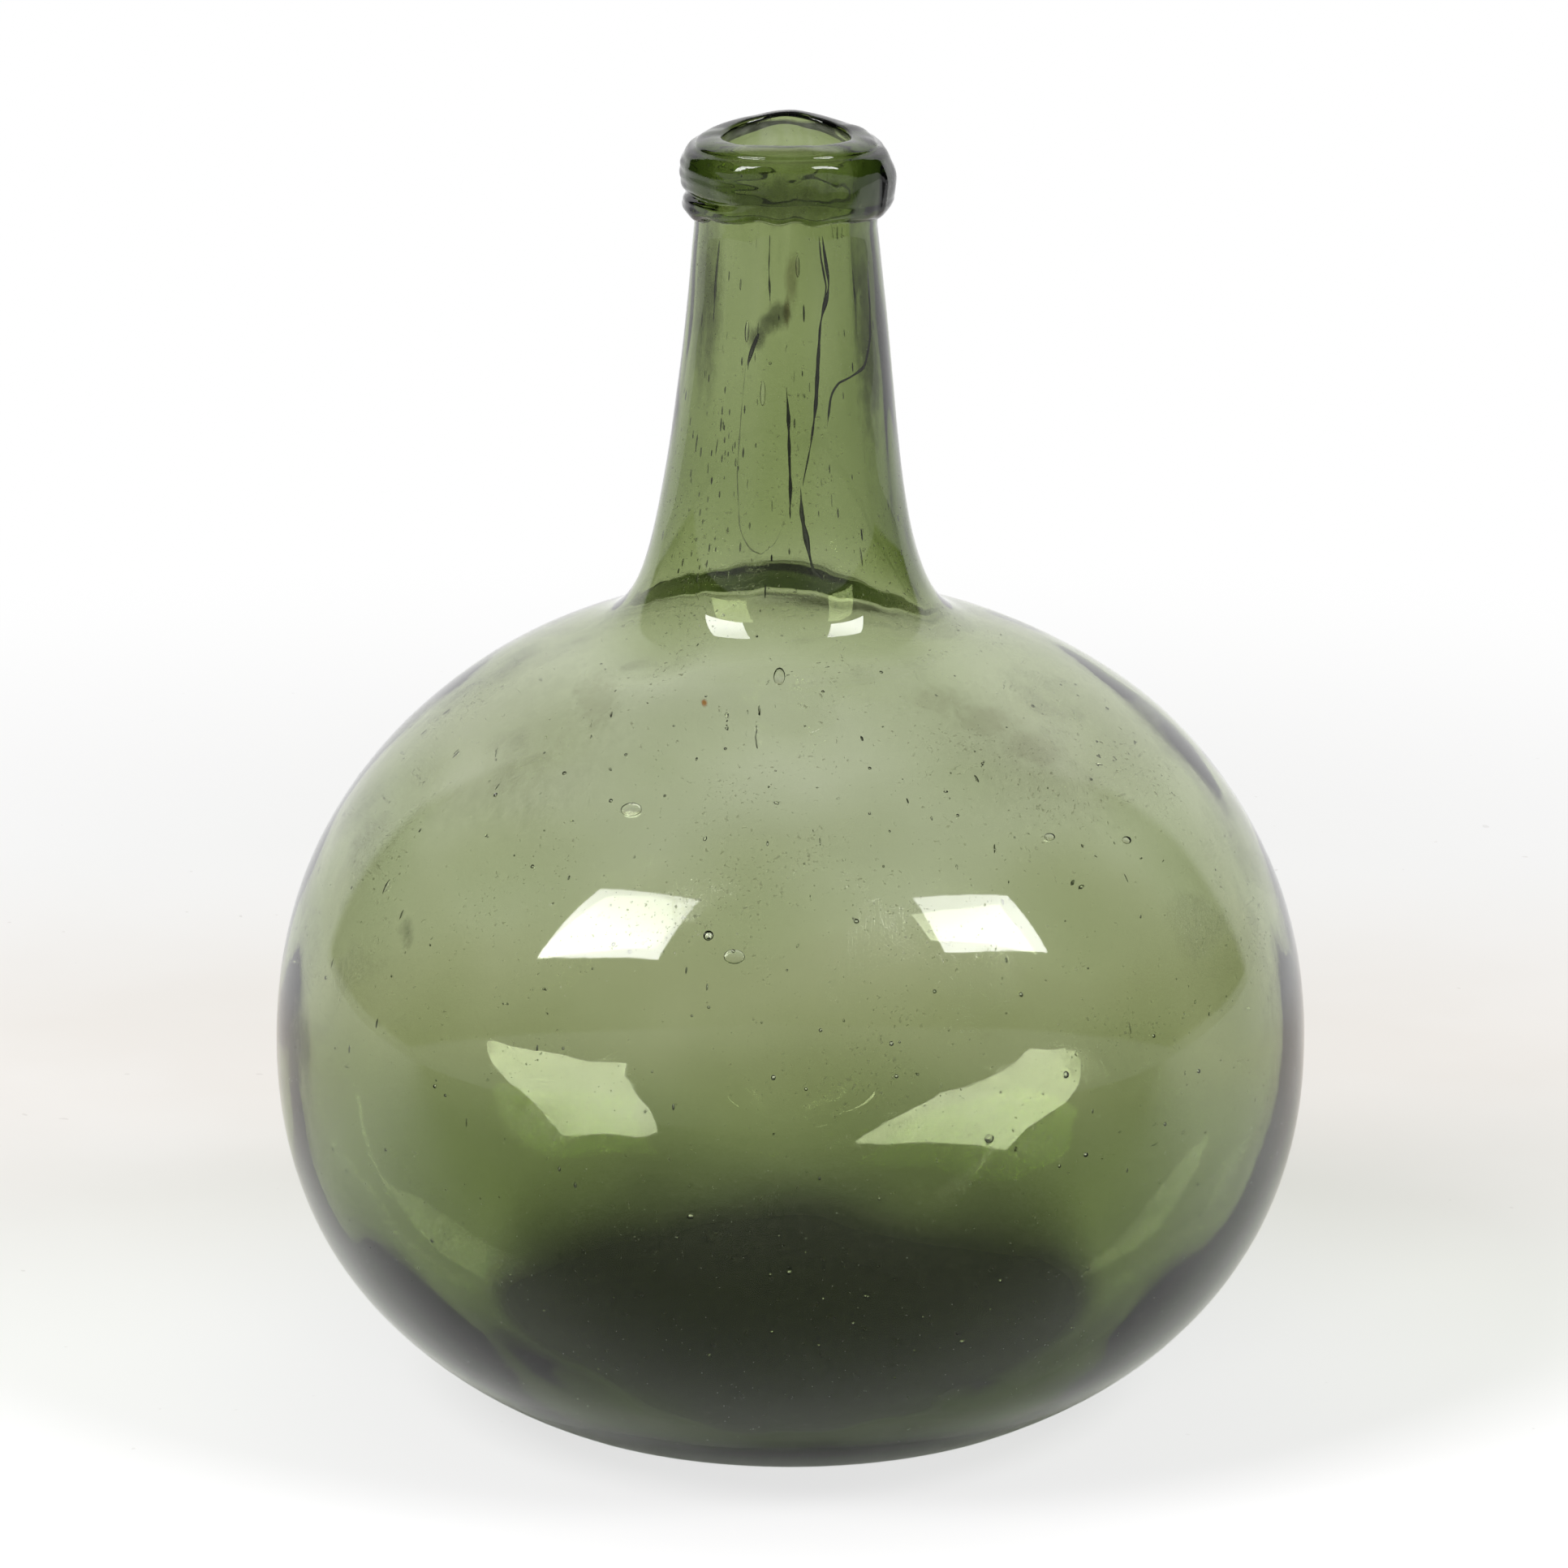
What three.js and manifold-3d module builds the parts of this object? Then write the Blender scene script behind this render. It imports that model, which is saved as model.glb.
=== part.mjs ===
// A free-blown green glass demijohn: the blown vessel, the trail of glass wound round its mouth in
// an upper and a lower wrap, the lapped end of that trail, and the pontil scar under the base.
// Millimetres, +Z up. The origin is the centre of the ring that the bottle stands on.
import * as THREE from "three";
import { mergeVertices } from "three/addons/utils/BufferGeometryUtils.js";
import Module from "manifold-3d";

// Body: two superellipse halves that meet at the widest height
const bodyRadius = 149.6;
const widestHeight = 106.9;
const upperRise = 132.4;
const upperFullness = 2.125;
const lowerFullness = 2.19;

// Foot: the worn flat ring, the rounding outside it and the kick inside it
const footRadius = 69;
const footWidth = 5.5;
const heelReach = 3.2;
const kickHeight = 24;

// Neck: a straight run under the trail, then a taper that flares into the shoulder
const shoulderRadius = 60;
const neckRadius = 26.3;
const straightRun = 3.6;
const neckTaper = THREE.MathUtils.degToRad(5.2);
const taperReach = 106;
const flareReach = 22.5;
const neckShift = 1.3;

// Mouth: a thick rounded edge with the bore inside it
const lipHeight = 377.3;
const boreRadius = 18.1;

// Glass thickness from the base to the neck
const baseWall = 8;
const heelWall = 6.5;
const bellyWall = 2.8;
const shoulderWall = 3.2;
const neckWall = 4.6;

// Trail round the mouth: collar above, string below, and the lapped end
const seamDrop = 2.6;
const collarHeight = 13.2;
const collarDepth = 3.9;
const stringHeight = 5.6;
const stringDepth = 3.3;
const wrapFullness = 2.7;
const lapLength = 19;
const lapHeight = 15;
const lapThickness = 0.9;
const lapAzimuth = THREE.MathUtils.degToRad(-9);

// The mouth sags at the sides, and has one peak at the back
const lipWave = 0.7;
const stringWave = 1.7;
const lipPeak = 1.1;
const peakSharpness = 12;

// Pontil scar: a ring of leftover glass on the kick
const scarRadius = 17;
const scarWidth = 8;
const scarThickness = 2.4;

// Clearance between pieces that lie against each other
const seatGap = 0.3;

// Steps round the axis, and along each stretch of an outline
const turnSteps = 56;
const scarTurnSteps = 32;
const bodySteps = 8;
const kickSteps = 9;
const curveSteps = 9;
const heelSteps = 3;
const throatSteps = 3;
const lipSteps = 6;
const wrapSteps = 8;
const lapSteps = 16;

// Sizes that follow from the ones above
const footInner = footRadius - footWidth / 2;
const footOuter = footRadius + footWidth / 2;
const footCorner = footOuter + heelReach;
const heelTop = footCorner + 2 * heelReach;
const lipRadius = (neckRadius - boreRadius) / 2;
const lipStart = lipHeight - lipRadius;
const seatRadius = neckRadius + seatGap;
const collarTop = lipHeight - seamDrop;
const collarFoot = collarTop - collarHeight;
const stringTop = collarFoot - seatGap;
const stringFoot = stringTop - stringHeight;
const neckTop = stringFoot - straightRun;

const glass = { color: 0x5d6e3c, roughness: 0.06, metalness: 0, transparent: true, opacity: 0.75 };
const thickGlass = { ...glass, color: 0x3c4a2c, opacity: 0.85 };
const roughGlass = { ...thickGlass, roughness: 0.5 };

const wasm = await Module();
wasm.setup();

function ease(value, from, to) {
  return THREE.MathUtils.smoothstep(value, from, to);
}

// Height of the body's wall above or below the widest height, at a radius.
function superHeight(radius, semiHeight, fullness) {
  return semiHeight * (1 - (radius / bodyRadius) ** fullness) ** (1 / fullness);
}

// The lower half's semi-height, chosen so that its wall runs down to the foot's corner.
function lowerDrop() {
  return widestHeight / superHeight(footCorner, 1, lowerFullness);
}

// One quarter of a superellipse, from the widest point to a given radius.
function bodyQuarter(semiHeight, fullness, endRadius, steps) {
  const endAngle = Math.acos((endRadius / bodyRadius) ** (fullness / 2));
  const points = [];
  for (let i = 0; i <= steps; i++) {
    const angle = (endAngle * i) / steps;
    const radius = bodyRadius * Math.cos(angle) ** (2 / fullness);
    points.push(new THREE.Vector2(radius, widestHeight + semiHeight * Math.sin(angle) ** (2 / fullness)));
  }
  return points;
}

function kickSurface(radius) {
  return kickHeight * Math.cos((Math.PI / 2) * (radius / footInner)) ** 2;
}

function kickOutline() {
  const points = [];
  for (let i = 0; i <= kickSteps; i++) {
    const radius = (footInner * i) / kickSteps;
    points.push(new THREE.Vector2(radius, kickSurface(radius)));
  }
  return points;
}

function heelOutline() {
  const wallHeight = widestHeight - superHeight(heelTop, lowerDrop(), lowerFullness);
  const curve = new THREE.QuadraticBezierCurve(
    new THREE.Vector2(footOuter, 0),
    new THREE.Vector2(footCorner, 0),
    new THREE.Vector2(heelTop, wallHeight),
  );
  return curve.getPoints(heelSteps);
}

function shoulderHeight() {
  return widestHeight + superHeight(shoulderRadius, upperRise, upperFullness);
}

// The neck leaves the shoulder along the shoulder's own slope and ends at the neck's taper.
function neckOutline() {
  const height = shoulderHeight();
  const shareOut = (shoulderRadius / bodyRadius) ** (upperFullness - 1);
  const shareUp = ((height - widestHeight) / upperRise) ** (upperFullness - 1);
  const slope = new THREE.Vector2(-1, (upperRise * shareOut) / (bodyRadius * shareUp)).normalize();
  const start = new THREE.Vector2(shoulderRadius, height);
  const end = new THREE.Vector2(neckRadius, neckTop);
  const taper = new THREE.Vector2(Math.sin(neckTaper), -Math.cos(neckTaper));
  const curve = new THREE.CubicBezierCurve(
    start,
    start.clone().addScaledVector(slope, flareReach),
    end.clone().addScaledVector(taper, taperReach),
    end,
  );
  return curve.getPoints(curveSteps);
}

// The outside of the blown wall, from the middle of the kick to the underside of the trail.
function outerWall() {
  const lower = bodyQuarter(-lowerDrop(), lowerFullness, heelTop, bodySteps).reverse();
  const upper = bodyQuarter(upperRise, upperFullness, shoulderRadius, bodySteps);
  const neck = neckOutline();
  return [...kickOutline(), ...heelOutline(), ...lower.slice(1), ...upper.slice(1), ...neck.slice(1)];
}

function wallThickness(point) {
  const inKick = point.x < footInner && point.y < widestHeight;
  if (inKick) return THREE.MathUtils.lerp(baseWall, heelWall, ease(point.x, 0, footInner));
  const belly = THREE.MathUtils.lerp(heelWall, bellyWall, ease(point.y, 0, widestHeight));
  const shoulder = THREE.MathUtils.lerp(belly, shoulderWall, ease(point.y, widestHeight, shoulderHeight()));
  return THREE.MathUtils.lerp(shoulder, neckWall, ease(point.y, shoulderHeight(), neckTop));
}

// The inside of the wall: each outside point moved in by the thickness, square to the outline.
function innerWall(outer) {
  return outer.map((point, i) => {
    const before = outer[Math.max(i - 1, 0)];
    const after = outer[Math.min(i + 1, outer.length - 1)];
    const along = after.clone().sub(before).normalize();
    const inward = i === 0 ? new THREE.Vector2(0, 1) : new THREE.Vector2(-along.y, along.x);
    return point.clone().addScaledVector(inward, wallThickness(point));
  });
}

// From the neck's outside over the rounded edge and down into the bore.
function lipOutline() {
  const middle = boreRadius + lipRadius;
  const points = [];
  for (let i = 0; i <= lipSteps; i++) {
    const angle = (Math.PI * i) / lipSteps;
    const radius = middle + lipRadius * Math.cos(angle);
    points.push(new THREE.Vector2(radius, lipStart + lipRadius * Math.sin(angle)));
  }
  return points;
}

// The bore widens smoothly from the mouth to the inside of the neck.
function throatOutline(neckInside) {
  const points = [];
  for (let i = 1; i < throatSteps; i++) {
    const share = i / throatSteps;
    const radius = THREE.MathUtils.lerp(boreRadius, neckInside.x, ease(share, 0, 1));
    points.push(new THREE.Vector2(radius, THREE.MathUtils.lerp(lipStart, neckInside.y, share)));
  }
  return points;
}

function vesselOutline() {
  const outer = outerWall();
  const inner = innerWall(outer).reverse();
  return [...outer, ...lipOutline(), ...throatOutline(inner[0]), ...inner];
}

// The full, rounded front of one wrap of the trail, from its foot to its top.
function wrapFront(foot, height, depth, grow = 0) {
  const points = [];
  for (let i = 0; i <= wrapSteps; i++) {
    const angle = Math.PI * (i / wrapSteps - 1 / 2);
    const out = (depth + grow) * Math.max(Math.cos(angle), 0) ** (2 / wrapFullness);
    const up = (height / 2 + grow) * Math.sign(angle) * Math.abs(Math.sin(angle)) ** (2 / wrapFullness);
    points.push(new THREE.Vector2(seatRadius + out, foot + height / 2 + up));
  }
  return points;
}

// A wrap with its straight back against the neck.
function wrapOutline(foot, height, depth) {
  const front = wrapFront(foot, height, depth);
  return [...front, front[0].clone()];
}

// The room that a wrap takes up, with its clearance, from the bore outwards.
function wrapRoomOutline(foot, height, depth) {
  const front = wrapFront(foot, height, depth, seatGap);
  const back = [front.at(-1), front[0]].map((point) => new THREE.Vector2(boreRadius, point.y));
  return [...front, ...back, front[0].clone()];
}

// The scar's upper side follows the kick, and its lower side bulges away from it.
function scarOutline() {
  const inside = scarRadius - scarWidth / 2;
  const top = [];
  const bottom = [];
  const steps = wrapSteps / 2;
  for (let i = 0; i <= steps; i++) {
    const radius = inside + (scarWidth * i) / steps;
    const height = kickSurface(radius) - seatGap;
    const bulge = scarThickness * Math.sin((Math.PI * i) / steps);
    top.push(new THREE.Vector2(radius, height));
    bottom.push(new THREE.Vector2(radius, height - bulge));
  }
  return [...bottom, ...top.reverse().slice(1)];
}

// Bends the upright form to the real bottle: the neck stands a little off centre, and the mouth waves.
function settle(geometry) {
  const position = geometry.getAttribute("position");
  const point = new THREE.Vector3();
  const shiftStart = shoulderHeight() - flareReach / 2;
  const shiftEnd = shoulderHeight() + flareReach / 2;
  for (let i = 0; i < position.count; i++) {
    point.fromBufferAttribute(position, i);
    const radius = Math.hypot(point.x, point.y) || 1;
    const acrossShare = (point.y ** 2 - point.x ** 2) / radius ** 2;
    const backShare = Math.max(point.y / radius, 0) ** peakSharpness;
    const inTrail = ease(point.z, stringFoot - lapHeight, stringFoot);
    const upTrail = THREE.MathUtils.clamp((point.z - stringFoot) / (lipHeight - stringFoot), 0, 1);
    const wave = THREE.MathUtils.lerp(stringWave, lipWave, upTrail) * acrossShare;
    point.x -= neckShift * ease(point.z, shiftStart, shiftEnd);
    point.z += inTrail * wave + lipPeak * backShare * ease(upTrail, 0, 1);
    position.setXYZ(i, point.x, point.y, point.z);
  }
  geometry.computeVertexNormals();
  return geometry;
}

// A solid of revolution about Z.
function turned(outline, steps = turnSteps) {
  return new THREE.LatheGeometry(outline, steps).rotateX(Math.PI / 2);
}

function solidOf(geometry) {
  const bare = geometry.index ? geometry.toNonIndexed() : geometry.clone();
  bare.deleteAttribute("normal");
  bare.deleteAttribute("uv");
  const merged = mergeVertices(bare, 1e-3);
  const mesh = new wasm.Mesh({
    numProp: 3,
    vertProperties: merged.getAttribute("position").array,
    triVerts: new Uint32Array(merged.index.array),
  });
  return new wasm.Manifold(mesh);
}

function geometryOf(solid) {
  const mesh = solid.getMesh();
  const geometry = new THREE.BufferGeometry();
  geometry.setAttribute("position", new THREE.BufferAttribute(new Float32Array(mesh.vertProperties), 3));
  geometry.setIndex(new THREE.BufferAttribute(new Uint32Array(mesh.triVerts), 1));
  return geometry;
}

// The lapped end is a flat drop of glass, hollowed where it lies on both wraps.
function lapGeometry() {
  const front = seatRadius + collarDepth + seatGap + lapThickness;
  const height = (collarTop + stringFoot) / 2;
  const drop = new THREE.SphereGeometry(1, lapSteps, lapSteps / 2);
  drop.scale(collarDepth, lapLength / 2, lapHeight / 2);
  drop.translate(front - collarDepth, 0, height);
  drop.rotateZ(lapAzimuth);
  const collar = solidOf(turned(wrapRoomOutline(collarFoot, collarHeight, collarDepth)));
  const string = solidOf(turned(wrapRoomOutline(stringFoot, stringHeight, stringDepth)));
  return geometryOf(solidOf(drop).subtract(collar).subtract(string));
}

function glassMesh(name, geometry, finish) {
  const mesh = new THREE.Mesh(settle(geometry), new THREE.MeshStandardMaterial(finish));
  mesh.name = name;
  return mesh;
}

const demijohn = new THREE.Group();
demijohn.name = "demijohn";
demijohn.add(glassMesh("vessel", turned(vesselOutline()), glass));
const collarOutline = wrapOutline(collarFoot, collarHeight, collarDepth);
const stringOutline = wrapOutline(stringFoot, stringHeight, stringDepth);
demijohn.add(glassMesh("rim_collar", turned(collarOutline), thickGlass));
demijohn.add(glassMesh("rim_string", turned(stringOutline), thickGlass));
demijohn.add(glassMesh("rim_lap", lapGeometry(), thickGlass));
demijohn.add(glassMesh("pontil_scar", turned(scarOutline(), scarTurnSteps), roughGlass));

export default demijohn;
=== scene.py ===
# A free-blown green glass demijohn: one fused glass body with its wound rim, its seeds and its pontil scar.
import functools
import math
import bpy
import numpy as np
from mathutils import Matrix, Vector


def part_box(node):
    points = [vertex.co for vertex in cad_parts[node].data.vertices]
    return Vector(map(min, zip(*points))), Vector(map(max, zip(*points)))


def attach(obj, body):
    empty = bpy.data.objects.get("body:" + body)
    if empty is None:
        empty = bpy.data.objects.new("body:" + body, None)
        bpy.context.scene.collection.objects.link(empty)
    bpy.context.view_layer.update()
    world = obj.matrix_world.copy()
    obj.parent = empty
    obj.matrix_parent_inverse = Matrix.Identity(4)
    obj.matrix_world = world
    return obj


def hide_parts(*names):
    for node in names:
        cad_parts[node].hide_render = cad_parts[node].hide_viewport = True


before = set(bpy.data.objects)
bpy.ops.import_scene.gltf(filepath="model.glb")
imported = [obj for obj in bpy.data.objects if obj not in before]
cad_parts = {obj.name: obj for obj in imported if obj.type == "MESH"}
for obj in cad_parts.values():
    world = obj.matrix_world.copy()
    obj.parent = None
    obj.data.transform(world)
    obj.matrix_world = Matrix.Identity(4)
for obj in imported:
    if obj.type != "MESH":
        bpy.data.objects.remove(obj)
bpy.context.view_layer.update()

# The blown body. Lengths are in metres wherever no comment says millimetres
vessel_low, vessel_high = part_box("vessel")
BODY_RADIUS = (vessel_high.x - vessel_low.x) / 2
WIDEST_HEIGHT = 0.1069
UPPER_RISE = 0.1324
UPPER_FULLNESS = 2.125
LOWER_FULLNESS = 2.19
FOOT_RADIUS = 0.069
FOOT_WIDTH = 0.0055
HEEL_REACH = 0.0032
KICK_HEIGHT = 0.024
SHOULDER_RADIUS = 0.060
NECK_RADIUS = 0.0263
NECK_TOP = 0.352
NECK_TAPER = math.radians(5.2)
TAPER_REACH = 0.106
FLARE_REACH = 0.0225
FOOT_INNER = FOOT_RADIUS - FOOT_WIDTH / 2
FOOT_OUTER = FOOT_RADIUS + FOOT_WIDTH / 2
FOOT_CORNER = FOOT_OUTER + HEEL_REACH
HEEL_TOP = FOOT_CORNER + 2 * HEEL_REACH

# Glass thickness from the base to the neck, and how the inner heel is rounded
BASE_WALL = 0.010
HEEL_WALL = 0.0075
HEEL_FALL = 0.085
HEEL_SHARPNESS = 2.0
BELLY_WALL = 0.0021
SHOULDER_WALL = 0.0018
NECK_WALL = 0.0047
NECK_THICKENS = (0.226, 0.261)
FLOOR_REACH = 0.045
HEEL_RISE = 0.012
HEEL_TANGENT = 0.4
HEEL_PASSES = 24
HEEL_ROUND = (0.025, 0.080)

# The fold of thick glass at the back of the neck's foot, whole where the sine of the angle passes its last
# value
FOLD_HEIGHT = 0.2358
FOLD_DEPTH = 0.0030
FOLD_WIDTH = 0.0022
FOLD_FULL = 0.6

# The dark sheet on the inner floor, painted shade for the shadowed floor seen through the base, and the pale
# haze at the back of the mouth, partly real streaks and partly painted light, whole from such a sine too
BASE_SHADE_RADIUS = 0.092
BASE_SHADE_SHIFT = 0.002
BASE_SHADE_FADES = (0.007, 0.028)
BASE_SHADE_BACK = (0.2, 0.9)
BASE_SHADE_EDGE = 0.005
BASE_SHADE_TOP = 0.060
HAZE_AND_LIGHT_FOOT = 0.345
HAZE_AND_LIGHT_RISE = 0.012
HAZE_AND_LIGHT_FULL = 0.5

# Mouth and trail
LIP_HEIGHT = 0.3773
BORE_RADIUS = 0.0181
LIP_EDGE = 0.0013
THROAT_TURN = 0.3
SEAM_HEIGHT = 0.3747
SEAM_SOFT = 0.002
SEAM_MARGIN = 0.000001
GROOVE_HEIGHT = 0.3613
STRING_FOOT = 0.3556
COLLAR_DEPTH = 0.0042
STRING_DEPTH = 0.0036
WRAP_FULLNESS = 2.25
WRAPS_PART = (0.1, 0.7)
WRAP_OVERLAPS = (0.0006, 0.004)
TRAIL_EDGE = 0.001
TRAIL_SOFT = 0.003
STREAK_DEPTH = 0.00012
STREAK_SLANT = 0.0035
STREAK_PITCH = 0.0031
LAP_START = math.radians(-25)
LAP_END = math.radians(10)
LAP_START_SOFT = math.radians(2)
LAP_END_SOFT = math.radians(6)
LAP_FOOT_SOFT = 0.005
LAP_FADE = 0.366
LAP_TOP = 0.372
LAP_DEPTH = 0.0011
LIP_WAVE = 0.0007
STRING_WAVE = 0.0017
LIP_PEAK = 0.0011
PEAK_SHARPNESS = 12
TRAIL_RUN_IN = 0.015

# How the neck stands: off centre at its foot, and straighter at the top
NECK_LEAN = 0.0022
LEAN_HEIGHTS = (0.200, 0.240)
LEAN_RECOVERY = 0.0010
RECOVERY_HEIGHTS = (0.250, 0.330)
BORE_SHIFT = 0.0007
OFF_AXIS = 1e-9

# Waves of the surface: height, length, seed of the draw, and how drawn out they are upwards. The streaks'
# height is an angle
OUTER_WAVES = [(0.00013, 0.070, 21), (0.00002, 0.022, 22)]
INNER_WAVES = [(0.00030, 0.060, 31), (0.00006, 0.026, 32), (0.000012, 0.009, 33)]
NECK_WAVES = [(0.00004, 0.011, 41, 7.0)]
INNER_NECK_WAVES = [(0.00020, 0.012, 43, 8.0), (0.00010, 0.006, 44, 10.0)]
TRAIL_RIPPLES = [(0.00016, 0.011, 11), (0.00003, 0.0045, 12)]
LIP_RIPPLES = [(0.00012, 0.010, 51)]
STRING_FOOT_WAVES = [(0.0007, 0.011, 3)]
GROOVE_WAVES = [(0.0007, 0.03, 5)]
SEAM_WAVES = [(0.0005, 0.02, 7)]
STREAK_TURNS = [(2, 0.03, 13)]
BASE_SHADE_EDGE_WAVES = [(0.0008, 0.050, 71)]
WAVES_SUMMED = 24
WAVE_PACES = (0.6, 1.5)
WAVE_CREST = 5.5

# How far from the foot, the shoulder, the rim and the lip the waves start or stop
FOOT_CALM = 0.012
SHOULDER_CALM = 0.03
RIM_CALM = 0.004
LIP_CALM = 0.004
LIP_SOFT = 0.02
LIP_RIPPLE_DROP = 0.001
INNER_NECK_LOW = 0.15
INNER_NECK_HEIGHTS = (0.265, 0.335)

# How finely the outline is drawn, and how its rows are spaced or counted
TURN_STEPS = 192
CAMERA_SIDE = math.radians(-90)
LINE_STEPS = 400
KICK_STEPS = 99
HEEL_STEPS = 40
INNER_HEEL_STEPS = 60
KICK_SPACING = 0.003
HEEL_SPACING = 0.001
BODY_SPACING = 0.005
NECK_SPACING = 0.0022
INNER_HEEL_SPACING = 0.003
RIM_ROWS = 58
LIP_ROWS = 12
THROAT_ROWS = 14

# Creases and drawn-out lines in the neck: marks of (across, height), then width and depth, in
# millimetres, and how dark the crease is
CREASES = {
    "main": ([(10, 352), (10.8, 347), (12.2, 338), (9.6, 328), (9, 316), (8.6, 304), (7.4, 293), (5.2, 281)],
             1.25, 1.1, 0.95),
    "main_twin": ([(9.1, 352), (9.7, 346), (11.2, 338), (10.4, 331)], 0.8, 1.5, 0.85),
    "low": ([(4.8, 281), (5.2, 273), (6.5, 267), (7.7, 261), (8.8, 257), (12, 254.5)], 1.25, 1.0, 0.75),
    "right": ([(22.6, 342), (23.4, 330), (23.5, 320), (22.1, 313), (18, 311), (14.8, 310), (12.8, 307),
               (11.8, 297)], 1.1, 1.2, 0.85),
    "centre": ([(0.2, 310), (0.9, 302), (1.2, 295), (1.5, 288), (1.9, 281), (1.9, 275)], 1.3, 1.6, 0.9),
    "tongue": ([(-11.2, 316), (-12.2, 303), (-13.2, 285), (-12.2, 268), (-9.2, 263), (-6, 262), (-2.2, 265),
                (1.5, 274)], 0.35, 1.4, 0.3),
    "upper_left": ([(-4.5, 352), (-4.8, 343), (-4.4, 333)], 0.7, 1.8, 0.7),
    "smear_foot": ([(-7.6, 325), (-9.2, 321), (-10.8, 315.5)], 1.2, 1.3, 0.75),
    "left_edge": ([(-18.5, 350), (-19.6, 338), (-20.3, 326)], 1.0, 1.5, 0.5),
}
CREASE_FLATNESS = 0.7
CREASE_STEPS = 60
CREASE_SIDES = 8
CREASE_SOFTENING = 5
CREASE_END = 0.001
SWELL_MIDDLE = 0.75
SWELL_RANGE = 0.45
SWELL_LENGTH = 0.008
SWELL_LIMITS = (0.3, 1.6)

# Larger seeds in the body and neck: degrees round from +X, then in millimetres their height, and their size
# across, up and through the wall
SEEDS = [
    (-91.2, 231.8, 3.3, 8.0, 0.4), (-115.1, 204.0, 6.4, 4.6, 0.35), (-100.2, 176.3, 3.0, 3.0, 1.7),
    (-96.8, 171.3, 6.0, 4.2, 0.3), (-50.7, 194.2, 3.8, 2.4, 0.4), (-37.7, 188.6, 3.8, 2.4, 0.4),
    (-150.4, 172.1, 1.7, 4.6, 0.25), (-82.6, 344.1, 1.2, 6.2, 0.6), (-114.1, 325.2, 1.4, 6.2, 0.7),
    (-102.9, 307.8, 1.6, 7.1, 0.7), (-99.2, 316.6, 0.9, 0.9, 0.8), (-81.6, 180.0, 1.6, 1.4, 1.2),
    (-57.9, 134.0, 1.9, 2.1, 1.2), (-67.8, 119.2, 2.8, 2.6, 0.7), (-55.8, 109.9, 1.6, 1.4, 1.2),
    (-100.9, 98.8, 2.1, 1.6, 1.4), (-90.1, 82.2, 1.6, 1.4, 1.2), (-69.1, 55.2, 1.9, 1.4, 1.2),
]
MILLIMETRES = 1000
LARGE_BALL = {"rings": 8, "turns": 14}
SMALL_BALL = {"rings": 4, "turns": 7}
SLOPE_STEP = 0.001

# Small seeds and dashes drawn at random: how many, and the limits of their measures. Depths are shares of
# the wall, drawn-out lengths are in widths, and the left azimuths gather round their first value
SEED_DRAW = 5
ROUND_THE_AXIS = (-180, 180)
MIDDLE = 0.5
MID_WALL = (0.3, 0.7)
SMALL_SEEDS = 460
SMALL_SEED_HEIGHTS = (0.030, 0.232)
SMALL_SEED_TALLNESS = (0.8, 1.1)
SMALL_SEED_FLATNESS = 0.9
SMALL_SEED_SIZE = 0.0006
SMALL_SEED_GROWTH = 0.0009
LARGER_SEED_RARITY = 2.5
NECK_SEEDS = 90
NECK_SEED_HEIGHTS = (0.250, 0.350)
NECK_SEED_WIDTHS = (0.00025, 0.0006)
NECK_SEED_LENGTHS = (3, 10)
NECK_SEED_STAINS = (0.3, 1)
BODY_DASHES = 80
BODY_DASH_HEIGHTS = (0.100, 0.226)
BODY_DASH_WIDTHS = (0.0004, 0.0010)
BODY_DASH_LENGTHS = (0.0010, 0.0034)
BODY_DASH_THROUGH = 0.0004
BODY_DASH_DEPTH = 0.4
BODY_DASH_STAINS = (0.3, 0.7)
LEFT_DASHES = 60
LEFT_DASH_HEIGHTS = (0.252, 0.305)
LEFT_DASH_WIDTHS = (0.00028, 0.0006)
LEFT_DASH_LENGTHS = (2.5, 6)
LEFT_DASH_DEPTHS = (0.2, 0.7)
LEFT_DASH_STAINS = (0.3, 0.8)
LEFT_DASH_AZIMUTH = (-128, 11)
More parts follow.
